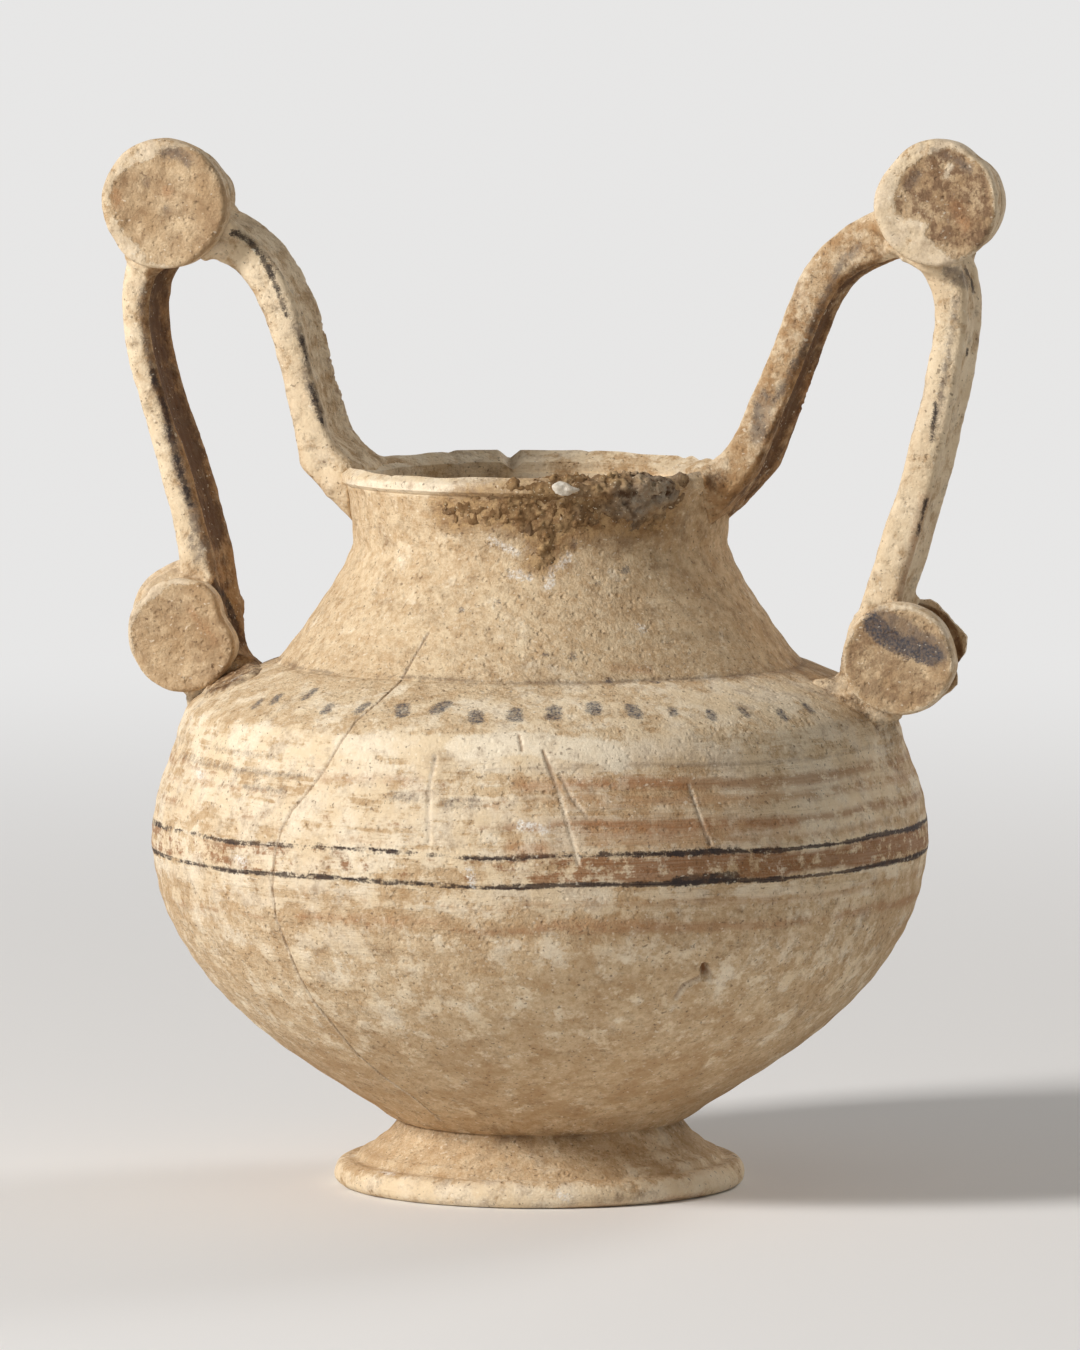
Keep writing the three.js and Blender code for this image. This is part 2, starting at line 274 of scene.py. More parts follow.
def spun(name: str, profile: Array, steps: int, centre: Vector, axis: Vector) -> Piece:
    """Draws a line of points by extruding one vertex along it, and spins it all round.

    Args:
        name: The new piece's name.
        profile: The points of the line, in millimetres.
        steps: How many steps the full turn has.
        centre: A point on the axis, in metres.
        axis: The direction of the axis.

    Returns:
        The new closed piece.
    """
    bpy.ops.object.select_all(action="DESELECT")
    start = Vector(profile[0]) / PER_METRE
    bpy.ops.mesh.primitive_plane_add(size=0.001, location=start)
    piece = bpy.context.active_object
    piece.name = name
    piece.data.name = name
    pick(piece)
    bpy.ops.object.transform_apply(location=True, rotation=True, scale=True)
    with editing(piece):
        bpy.ops.mesh.merge(type="CENTER")
        for step in np.diff(profile, axis=0) / PER_METRE:
            bpy.ops.mesh.extrude_vertices_move(TRANSFORM_OT_translate={"value": tuple(step)})
        bpy.ops.mesh.select_all(action="SELECT")
        bpy.ops.mesh.spin(steps=steps, angle=math.tau, center=centre, axis=axis)
    tidy_mesh(piece, weld=0.01)
    return piece


def refined(piece: Piece, near: Array) -> None:
    """Halves the edges of a piece's faces that have a marked vertex.

    Args:
        piece: The piece to refine.
        near: True for each vertex that asks for finer faces.
    """
    mesh = piece.data
    mesh.vertices.foreach_set("select", near)
    wanted = [any(near[i] for i in face.vertices) for face in mesh.polygons]
    mesh.edges.foreach_set("select", np.zeros(len(mesh.edges), bool))
    mesh.polygons.foreach_set("select", np.array(wanted, bool))
    with editing(piece, kind="FACE", everything=False):
        bpy.ops.mesh.subdivide(number_cuts=1)


def spaced(line: Array, spacing: float) -> Array:
    """Adds points to a line at an even spacing between its corners.

    Args:
        line: The line's corners, in two numbers each.
        spacing: About how far apart the points lie.

    Returns:
        The corners and the points between them, in order.
    """
    dense = [line[0]]
    for start, end in zip(line, line[1:]):
        count = max(1, round(float(np.hypot(*(end - start))) / spacing))
        dense += [start + (end - start) * k / count for k in range(1, count + 1)]
    return np.array(dense)


def resampled(outline: Array, fine: float, coarse: float, closed: bool) -> Array:
    """Spaces the points of a turned outline evenly, and rounds it between its corners.

    Args:
        outline: Radius and height of each corner of the outline.
        fine: The spacing on the outside of the pot.
        coarse: The spacing where the wall faces the axis or the ground.
        closed: Whether the last corner runs back to the first.

    Returns:
        Radius and height of each new point.
    """
    ring = np.vstack([outline, outline[:1]]) if closed else outline
    steps = np.diff(ring, axis=0)
    lengths = np.hypot(steps[:, 0], steps[:, 1])
    along = steps / lengths[:, None]
    points = [ring[0]]
    for i, length in enumerate(lengths):
        outside = along[i][1] > 0.05 or (along[i][0] < -0.5 and ring[i][1] > 60.0)
        count = max(1, round(length / (fine if outside else coarse)))
        before = along[i - 1] if i else along[i]
        after = along[i + 1] if i + 1 < len(along) else along[i]
        start = along[i] if before @ along[i] < 0.77 else (before + along[i]) / 2.0
        end = along[i] if after @ along[i] < 0.77 else (after + along[i]) / 2.0
        for k in range(1, count + 1):
            t = k / count
            bend = ((t**3 - 2 * t**2 + t) * start + (t**3 - t**2) * end) * length
            near, far = ring[i] * (2 * t**3 - 3 * t**2 + 1), ring[i + 1] * (3 * t**2 - 2 * t**3)
            points.append(near + far + bend)
    return np.array(points)


def turned_outline(node: str) -> tuple[Array, bool]:
    """Reads the outline of a turned node from the edges that lie in one of its half planes.

    Args:
        node: The node's name.

    Returns:
        Radius and height of each corner in order, and whether the outline closes on itself.
    """
    mesh = frame["nodes"][node].data
    flat = np.empty(len(mesh.vertices) * 3, np.float32)
    mesh.vertices.foreach_get("co", flat)
    places = flat.reshape(-1, 3) * PER_METRE
    radius = np.hypot(places[:, 0], places[:, 1])
    on_plane = (np.abs(places[:, 1]) < 0.01) & (places[:, 0] > -0.01)
    key = [(round(float(r), 1), round(float(z), 1)) for r, z in zip(radius, places[:, 2])]
    value = {key[i]: (float(radius[i]), float(places[i][2])) for i in np.flatnonzero(on_plane)}
    beside: dict[Corner, set[Corner]] = {corner: set() for corner in value}
    for edge in mesh.edges:
        a, b = edge.vertices
        if on_plane[a] and on_plane[b] and key[a] != key[b]:
            beside[key[a]].add(key[b])
            beside[key[b]].add(key[a])
    ends = [corner for corner in beside if corner[0] < 0.05]
    closed = not ends
    start = min(ends or beside, key=lambda corner: (corner[1], corner[0]))
    order = [start]
    towards = sorted(beside[start], key=lambda corner: -corner[0])
    order.append(towards[0])
    while True:
        nexts = [corner for corner in beside[order[-1]] if corner not in order[-2:]]
        if not nexts or nexts[0] == start:
            break
        order.append(nexts[0])
    return np.array([value[corner] for corner in order]), closed


@dataclass(frozen=True)
class Viewpoint:
    """The place that the photograph was taken from, and its frame in pixels."""

    azimuth: float = 14.0
    elevation: float = 5.0
    distance: float = 2400.0
    aim_height: float = 122.5
    focal_pixels: float = 9997.5
    sensor: float = 36.0
    width: int = 1080
    height: int = 1350

    @property
    def back(self) -> Vector:
        """The direction from the jar to the camera."""
        turn, rise = math.radians(self.azimuth), math.radians(self.elevation)
        level = math.cos(rise)
        return Vector((math.sin(turn) * level, -math.cos(turn) * level, math.sin(rise)))

    @property
    def right(self) -> Vector:
        """The direction to the right of the frame."""
        turn = math.radians(self.azimuth)
        return Vector((math.cos(turn), math.sin(turn), 0.0))

    @property
    def up(self) -> Vector:
        """The direction to the top of the frame."""
        return self.back.cross(self.right)

    @property
    def eye(self) -> Vector:
        """The camera's place."""
        return Vector((0.0, 0.0, self.aim_height)) + self.back * self.distance

    def ray(self, across: float, down: float) -> Vector:
        """The direction in which a pixel looks, by its place from the frame's left and top."""
        sideways = self.right * ((across - self.width / 2) / self.focal_pixels)
        upwards = self.up * ((self.height / 2 - down) / self.focal_pixels)
        return (sideways + upwards - self.back).normalized()

    def turn_of(self, points: Array) -> Array:
        """How far places lie round the jar, in degrees from the camera's side to the right."""
        turn = math.radians(self.azimuth)
        to_right = points[:, 0] * math.cos(turn) + points[:, 1] * math.sin(turn)
        to_camera = points[:, 0] * math.sin(turn) - points[:, 1] * math.cos(turn)
        return np.degrees(np.arctan2(to_right, to_camera))

    def pixels_of(self, points: Array) -> Array:
        """The pixels of the photograph, across and down, that show places."""
        offset = points - np.array(self.eye)
        right, up, back = (np.array(axis) for axis in (self.right, self.up, self.back))
        scale = self.focal_pixels / -(offset @ back)
        across = self.width / 2 + offset @ right * scale
        return np.column_stack([across, self.height / 2 - offset @ up * scale])

    def place(self, turn: float, radius: float, height: float) -> Array:
        """A place by its turn round the jar, its radius and its height."""
        angle = math.radians(turn + self.azimuth)
        return np.array([radius * math.sin(angle), -radius * math.cos(angle), height])

    def add_camera(self) -> None:
        """Puts the camera where the photograph was taken and makes it the scene's own."""
        data = bpy.data.cameras.new("photo_camera")
        data.sensor_width = self.sensor
        data.lens = self.focal_pixels * self.sensor / self.height
        data.clip_end = 20.0
        camera = bpy.data.objects.new("photo_camera", data)
        bpy.context.scene.collection.objects.link(camera)
        camera.location = self.eye / PER_METRE
        camera.rotation_euler = self.back.to_track_quat("Z", "Y").to_euler()
        bpy.context.scene.camera = camera


VIEW = Viewpoint()


class Trace:
    """Finds the places on a piece that pixels of the photograph show."""

    def __init__(self, piece: Piece) -> None:
        """Keeps the faces of a piece for looking up.

        Args:
            piece: The piece that the pixels lie on.
        """
        mesh = piece.data
        corners = [vertex.co * PER_METRE for vertex in mesh.vertices]
        self.tree = BVHTree.FromPolygons(corners, [tuple(face.vertices) for face in mesh.polygons])

    def spot(self, across: float, down: float) -> Optional[Array]:
        """The place on the piece under one pixel, or nothing where the pixel misses it."""
        found = self.tree.ray_cast(VIEW.eye, VIEW.ray(across, down))[0]
        return None if found is None else np.array(found)

    def line(self, pixels: Pixels, spacing: float = 3.0) -> Array:
        """The places on the piece along a line of pixels.

        Args:
            pixels: The corners of the line.
            spacing: Pixels between two places.

        Returns:
            The places that were found, in order.
        """
        dense = spaced(np.array(pixels, float), spacing)
        found = [self.spot(across, down) for across, down in dense.tolist()]
        return np.array([place for place in found if place is not None]).reshape(-1, 3)


def distance_to_line(points: Array, line: Array) -> Array:
    """How far places lie from a line of places.

    Args:
        points: The places to measure.
        line: The line's corners, one or more.

    Returns:
        One distance for each place.
    """
    if len(line) == 1:
        return np.linalg.norm(points - line[0], axis=1)
    best = np.full(len(points), np.inf)
    for start, end in zip(line, line[1:]):
        along = end - start
        length = max(float(along @ along), 1e-9)
        share = np.clip((points - start) @ along / length, 0.0, 1.0)
        best = np.minimum(best, np.linalg.norm(points - start - share[:, None] * along, axis=1))
    return best


def depth_in_outline(points: Array, outline: Array) -> Array:
    """How deep flat places lie inside a closed outline, negative outside it.

    Args:
        points: Places in two numbers each.
        outline: The outline's corners.

    Returns:
        One signed depth for each place.
    """
    inside = np.zeros(len(points), bool)
    best = np.full(len(points), np.inf)
    for start, end in zip(outline, np.roll(outline, -1, axis=0)):
        along = end - start
        share = np.clip((points - start) @ along / max(float(along @ along), 1e-9), 0.0, 1.0)
        best = np.minimum(best, np.linalg.norm(points - start - share[:, None] * along, axis=1))
        crosses = (start[1] > points[:, 1]) != (end[1] > points[:, 1])
        rise = end[1] - start[1] if end[1] != start[1] else 1e-9
        inside ^= crosses & (points[:, 0] < start[0] + (points[:, 1] - start[1]) / rise * along[0])
    return np.where(inside, best, -best)


@dataclass(frozen=True)
class Stroke:
    """A mark on a piece, by pixels of the photograph, and half of its width in millimetres."""

    pigment: Pigment
    pixels: tuple[tuple[float, float], ...]
    half_width: float


class Marks:
    """The signed depth of every pigment at every vertex of one piece."""

    def __init__(self, piece: Piece) -> None:
        """Starts with no mark anywhere.

        Args:
            piece: The piece that the marks lie on.
        """
        self.piece = piece
        self.points = points_of(piece)
        self.depths = {pigment: np.full(len(self.points), NO_MARK) for pigment in Pigment}

    def stroke(self, pigment: Pigment, line: Array, half_width: float) -> None:
        """Adds a stroke along a line of places.

        Args:
            pigment: What the stroke is made of.
            line: The places that it runs through.
            half_width: Half of its width.
        """
        if not len(line):
            return
        margin = half_width + 4.0
        low, high = line.min(0) - margin, line.max(0) + margin
        near = np.all((self.points > low) & (self.points < high), axis=1)
        depth = half_width - distance_to_line(self.points[near], line)
        self.depths[pigment][near] = np.maximum(self.depths[pigment][near], depth)

    def draw(self, trace: Trace, strokes: Iterable[Stroke]) -> None:
        """Adds the strokes where their pixels show the piece."""
        for stroke in strokes:
            self.stroke(stroke.pigment, trace.line(stroke.pixels), stroke.half_width)

    def area(self, pigment: Pigment, depth: Array) -> None:
        """Adds an area that is given by its signed depth at each vertex."""
        self.depths[pigment] = np.maximum(self.depths[pigment], depth)

    def write(self) -> None:
        """Writes every pigment to the piece."""
        for pigment, depth in self.depths.items():
            write_layer(self.piece, pigment, depth)


Socket = Union[Wire, float, Color]


class Graph:
    """Adds nodes to one node tree, step by step."""

    def __init__(self, tree: bpy.types.NodeTree) -> None:
        """Works on a tree.

        Args:
            tree: The tree to add nodes to.
        """
        self.tree = tree

    def node(self, kind: str, inputs: Optional[dict[Union[str, int], Socket]] = None,
             **settings: object) -> bpy.types.Node:
        """Adds one node.

        Args:
            kind: The node's type.
            inputs: Values or sockets for its inputs, by name or number.
            **settings: The node's own settings.

        Returns:
            The new node.
        """
        node = self.tree.nodes.new(kind)
        for name, value in settings.items():
            setattr(node, name, value)
        for name, value in (inputs or {}).items():
            self.feed(node.inputs[name], value)
        return node

    def feed(self, into: Wire, value: Socket) -> None:
        """Links a socket, or sets a plain value."""
        if isinstance(value, Wire):
            self.tree.links.new(value, into)
        else:
            into.default_value = value

    def math(self, operation: str, a: Socket, b: Socket = 0.0, clamp: bool = False) -> Wire:
        """One step of arithmetic, whose result may be kept from 0 to 1."""
        inputs = {0: a, 1: b}
        node = self.node("ShaderNodeMath", inputs, operation=operation, use_clamp=clamp)
        return node.outputs[0]

    def plus(self, a: Socket, b: Socket) -> Wire:
        """Adds two numbers."""
        return self.math("ADD", a, b)

    def minus(self, a: Socket, b: Socket) -> Wire:
        """Takes the second number from the first."""
        return self.math("SUBTRACT", a, b)

    def times(self, a: Socket, b: Socket) -> Wire:
        """Multiplies two numbers."""
        return self.math("MULTIPLY", a, b)

    def ramp(self, value: Socket, low: Socket, high: Socket, start: float = 0.0,
             end: float = 1.0) -> Wire:
        """Maps a number smoothly from the range of low to high to that of start to end."""
        inputs = {"Value": value, "From Min": low, "From Max": high, "To Min": start, "To Max": end}
        return self.node("ShaderNodeMapRange", inputs, interpolation_type="SMOOTHSTEP").outputs[0]

    def mix(self, share: Socket, a: Socket, b: Socket) -> Wire:
        """Lays a share of the second colour over the first."""
        return self.node("ShaderNodeMix", {0: share, 6: a, 7: b}, data_type="RGBA").outputs[2]

    def stretched(self, vector: Socket, x: float, y: float, z: float) -> Wire:
        """Stretches a place along each direction."""
        inputs = {0: vector, 1: (x, y, z)}
        return self.node("ShaderNodeVectorMath", inputs, operation="MULTIPLY").outputs[0]

    def noise(self, vector: Socket, scale: Socket, detail: float = 3.0,
              rough: float = 0.55) -> Wire:
        """Soft noise around one half, by its lumps per millimetre and its finer layers."""
        inputs = {"Vector": vector, "Scale": scale, "Detail": detail, "Roughness": rough}
        return self.node("ShaderNodeTexNoise", inputs).outputs["Fac"]

    def surface(self, color: Wire, rough: Socket, height: Wire, relief: float,
                gloss: float) -> None:
        """Ends a material with its shader.

        Args:
            color: Its colour.
            rough: Its roughness.
            height: The height of its fine relief.
            relief: How many millimetres a height of 1 stands for.
            gloss: How strongly it reflects.
        """
        bump = self.node("ShaderNodeBump", {"Distance": relief / PER_METRE, "Height": height})
        inputs = {"Base Color": color, "Roughness": rough, "Normal": bump.outputs["Normal"],
                  "Specular IOR Level": gloss}
        shader = self.node("ShaderNodeBsdfPrincipled", inputs)
        self.node("ShaderNodeOutputMaterial", {"Surface": shader.outputs[0]})

    def layer(self, kind: Enum) -> Wire:
        """A number that the piece keeps for each vertex."""
        return self.node("ShaderNodeAttribute", attribute_name=kind.value).outputs["Fac"]


class Effect:
    """A shader node group that several materials share."""

    def __init__(self, name: str, inputs: dict[str, float], outputs: Sequence[str]) -> None:
        """Makes the group with its sockets, and reads places in millimetres.

        Args:
            name: The group's name.
            inputs: The names and first values of its numbers.
            outputs: The names of what it gives.
        """
        self.group = bpy.data.node_groups.new(name, "ShaderNodeTree")
        face = self.group.interface
        face.new_socket("Place", in_out="INPUT", socket_type="NodeSocketVector")
        for socket, value in inputs.items():
            made = face.new_socket(socket, in_out="INPUT", socket_type="NodeSocketFloat")
            made.default_value = value
        for socket in outputs:
            face.new_socket(socket, in_out="OUTPUT", socket_type="NodeSocketFloat")
        self.graph = Graph(self.group)
        self.given = self.group.nodes.new("NodeGroupInput").outputs
        self.result = self.group.nodes.new("NodeGroupOutput").inputs

    def put_in(self, graph: Graph, inputs: dict[Union[str, int], Socket]) -> bpy.types.NodeOutputs:
        """Places the group in a material.

        Args:
            graph: The material's nodes.
            inputs: Values or sockets for the group's inputs.

        Returns:
            The group's outputs there.
        """
        node = graph.node("ShaderNodeGroup", node_tree=self.group)
        for name, value in inputs.items():
            graph.feed(node.inputs[name], value)
        return node.outputs


def clay_grain() -> Effect:
    """Fired clay close up: broad mottling, grains, dark and pale grits, pores and their relief.

    Returns:
        The shared effect.
    """
    effect = Effect("clay_grain", {"Size": 1.0},
                    ("Mottle", "Fleck", "Grain", "Dark grit", "Pale grit", "Relief"))
    graph, given = effect.graph, effect.given
    size = graph.node("ShaderNodeCombineXYZ", {axis: given["Size"] for axis in range(3)})
    inputs = {0: given["Place"], 1: size.outputs[0]}
    where = graph.node("ShaderNodeVectorMath", inputs, operation="DIVIDE").outputs[0]
    mottle = graph.noise(where, 0.11, 4.0, 0.6)
    grain = graph.noise(where, 1.6, 4.0, 0.62)
    graph.feed(effect.result["Mottle"], graph.ramp(mottle, 0.36, 0.64))
    graph.feed(effect.result["Fleck"], graph.ramp(graph.noise(where, 0.42, 4.0, 0.68), 0.38, 0.64))
    graph.feed(effect.result["Grain"], graph.ramp(grain, 0.32, 0.68))
    spread = graph.noise(where, 0.09, 2.0)
    dark = graph.noise(where, 1.05, 1.0, 0.4)
    dark_limit = graph.ramp(spread, 0.35, 0.7, 0.70, 0.63)
    graph.feed(effect.result["Dark grit"], graph.ramp(dark, dark_limit, 0.76))
    pale = graph.noise(graph.stretched(where, 1.0, 1.0, 1.3), 0.8, 1.0, 0.5)
    pale_limit = graph.ramp(spread, 0.3, 0.65, 0.62, 0.72)
    graph.feed(effect.result["Pale grit"], graph.ramp(pale, pale_limit, 0.78))
    pits = graph.node("ShaderNodeTexVoronoi", {"Vector": where, "Scale": 0.42, "Randomness": 1.0})
    pit = graph.ramp(pits.outputs["Distance"], 0.05, 0.3, -0.5, 0.0)
    coarse = graph.noise(where, 0.45, 3.0, 0.5)
    relief = graph.plus(graph.times(grain, 0.62), graph.times(coarse, 0.75))
    graph.feed(effect.result["Relief"], graph.plus(relief, pit))
    return effect


def turning_streaks() -> Effect:
    """Fine level streaks that a sponge and a brush leave on a turning pot.

    Returns:
        The shared effect.
    """
    effect = Effect("turning_streaks", {}, ("Streak", "Fine streak", "Relief"))
    graph, given = effect.graph, effect.given
    wide = graph.noise(graph.stretched(given["Place"], 0.035, 0.035, 0.4), 1.0, 5.0, 0.62)
    fine = graph.noise(graph.stretched(given["Place"], 0.07, 0.07, 2.3), 1.0, 3.0, 0.6)
    graph.feed(effect.result["Streak"], graph.ramp(wide, 0.36, 0.66))
    graph.feed(effect.result["Fine streak"], graph.ramp(fine, 0.34, 0.68))
    graph.feed(effect.result["Relief"], graph.plus(wide, graph.times(fine, 0.35)))
    return effect


def flaked_layer() -> Effect:
    """A thin cover that has flaked away in places, as slip and paint do.

    Returns:
        The shared effect.
    """
    effect = Effect("flaked_layer", {"Kept": 0.5, "Size": 6.0, "Edge": 0.12}, ("Mask",))
    graph, given = effect.graph, effect.given
    scale = graph.math("DIVIDE", 1.0, given["Size"])
    broad = graph.noise(given["Place"], scale, 6.0, 0.68)
    fine = graph.noise(given["Place"], graph.times(scale, 7.0), 2.0, 0.6)
    both = graph.plus(graph.times(broad, 2.6), graph.times(fine, 0.5))
    level = graph.minus(graph.plus(both, given["Kept"]), 2.05)
    half = graph.times(given["Edge"], -1.0)
    graph.feed(effect.result["Mask"], graph.ramp(level, half, given["Edge"]))
    return effect


def worn_mark() -> Effect:
    """A mark with a ragged edge, from its signed depth in millimetres.

    Returns:
        The shared effect.
    """
    effect = Effect("worn_mark", {"Depth": -1.0, "Ragged": 0.5, "Edge": 0.2}, ("Mask",))
    graph, given = effect.graph, effect.given
    rough = graph.noise(given["Place"], 0.55, 4.0, 0.7)
    fine = graph.noise(given["Place"], 2.6, 2.0, 0.6)
    ragged = graph.minus(graph.plus(rough, graph.times(fine, 0.6)), 0.8)
    shift = graph.times(ragged, graph.times(given["Ragged"], 4.0))
    depth = graph.plus(given["Depth"], shift)
    half = graph.times(given["Edge"], -1.0)
    graph.feed(effect.result["Mask"], graph.ramp(depth, half, given["Edge"]))
    return effect


def painted_ring() -> Effect:
    """The signed depth of a ring that a brush left on the turning pot.

    Returns:
        The shared effect.
    """
    effect = Effect("painted_ring", {"Level": 0.0, "Half width": 1.0, "Drift": 0.5}, ("Depth",))
    graph, given = effect.graph, effect.given
    height = graph.node("ShaderNodeSeparateXYZ", {0: given["Place"]}).outputs["Z"]
    sway = graph.noise(graph.stretched(given["Place"], 1.0, 1.0, 0.05), 0.022, 1.0)
    drift = graph.times(graph.minus(sway, 0.5), given["Drift"])
    away = graph.math("ABSOLUTE", graph.plus(graph.minus(height, given["Level"]), drift))
    thick = graph.noise(graph.stretched(given["Place"], 1.0, 1.0, 0.1), 0.09, 2.0)
    width = graph.times(given["Half width"], graph.ramp(thick, 0.3, 0.7, 0.65, 1.35))
    graph.feed(effect.result["Depth"], graph.minus(width, away))
    return effect


@dataclass
class Effects:
    """All the shared effects, built once."""

    grain: Effect = field(default_factory=clay_grain)
    streaks: Effect = field(default_factory=turning_streaks)
    flakes: Effect = field(default_factory=flaked_layer)
    mark: Effect = field(default_factory=worn_mark)
    ring: Effect = field(default_factory=painted_ring)


@dataclass(frozen=True)
class Ring:
    """One painted ring round the belly."""

    level: float
    half_width: float
    color: Color
    kept: float
    drift: float = 0.6
    ragged: float = 0.25
    strength: float = 1.0
    edge: float = 0.9


DARK_PAINT = tone(52, 40, 36)
BROWN_PAINT = tone(142, 96, 58)
PALE_BROWN_PAINT = tone(176, 134, 92)

BELLY_RINGS = (
    Ring(85.2, 3.2, BROWN_PAINT, 0.04, strength=0.92),
    Ring(104.2, 1.3, tone(158, 114, 74), -0.02, drift=1.2, strength=0.75),
    Ring(95.2, 1.0, tone(154, 110, 72), -0.04, drift=1.0, strength=0.75),
    Ring(100.6, 1.2, PALE_BROWN_PAINT, -0.06, drift=1.0, strength=0.65),
    Ring(91.2, 0.9, PALE_BROWN_PAINT, -0.08, drift=0.8, strength=0.65),
    Ring(108.5, 0.5, tone(124, 100, 82), 0.0, drift=0.8, strength=0.35, edge=0.5),
    Ring(77.0, 0.8, PALE_BROWN_PAINT, -0.02, drift=1.2, strength=0.55),
    Ring(71.0, 1.1, tone(168, 122, 82), 0.02, drift=1.0, strength=0.6),
    Ring(126.3, 0.35, tone(122, 104, 88), 0.2, drift=0.5, strength=0.6, edge=0.4),
    Ring(88.6, 0.55, DARK_PAINT, 0.2, drift=0.9, ragged=0.35, edge=0.2),
    Ring(81.7, 0.55, DARK_PAINT, 0.44, drift=0.7, ragged=0.3, edge=0.2),
)


def new_finish(name: str) -> tuple[bpy.types.Material, Graph, Socket]:
    """Starts an empty material.

    Args:
        name: The material's name.

    Returns:
        The material, its nodes, and places in millimetres.
    """
    material = bpy.data.materials.new(name)
    material.use_nodes = True
    material.node_tree.nodes.clear()
    graph = Graph(material.node_tree)
    coords = graph.node("ShaderNodeTexCoord").outputs["Object"]
    return material, graph, graph.stretched(coords, PER_METRE, PER_METRE, PER_METRE)


@dataclass(frozen=True)
class GrittyFinish:
    """The look of a dry, gritty stuff such as caked earth or shell."""

    name: str
    deep: Color
    pale: Color
    gap: Color
    lump: Color
    grit: float = 0.8
    grain_size: float = 0.6
    relief: float = 0.35
    roughness: float = 0.95

    def material(self, effects: Effects) -> bpy.types.Material:
        """Builds the material.

        Args:
            effects: The shared effects.

        Returns:
            The material.
        """
        material, graph, place = new_finish(self.name)
        grain = effects.grain.put_in(graph, {"Place": place, "Size": self.grain_size})
        blotch = graph.ramp(graph.noise(place, 0.28, 3.0), 0.4, 0.62)
        color = graph.mix(blotch, self.deep, self.pale)
        color = graph.mix(graph.layer(HAZE), color, self.lump)
        color = graph.mix(graph.times(grain["Fleck"], 0.5), color, self.deep)
        color = graph.mix(graph.layer(SOIL), color, self.gap)
        color = graph.mix(graph.times(grain["Dark grit"], self.grit), color, self.gap)
        color = graph.mix(graph.times(grain["Pale grit"], self.grit), color, tone(228, 214, 186))
        graph.surface(color, self.roughness, grain["Relief"], self.relief, 0.25)
        return material


@dataclass(frozen=True)
class Bench:
    """What each step of a clay finish works with."""

    graph: Graph
    effects: Effects
    place: Socket
    grain: bpy.types.NodeOutputs
    streaks: bpy.types.NodeOutputs

    def mark(self, depth: Socket, ragged: float, edge: float) -> Wire:
        """Where a mark with a ragged edge shows, from its signed depth."""
        inputs = {"Place": self.place, "Depth": depth, "Ragged": ragged, "Edge": edge}
        return self.effects.mark.put_in(self.graph, inputs)["Mask"]

    def flakes(self, kept: Socket, size: float, edge: float) -> Wire:
        """Where a flaked layer is left, from how much of it is kept."""
        inputs = {"Place": self.place, "Kept": kept, "Size": size, "Edge": edge}
        return self.effects.flakes.put_in(self.graph, inputs)["Mask"]


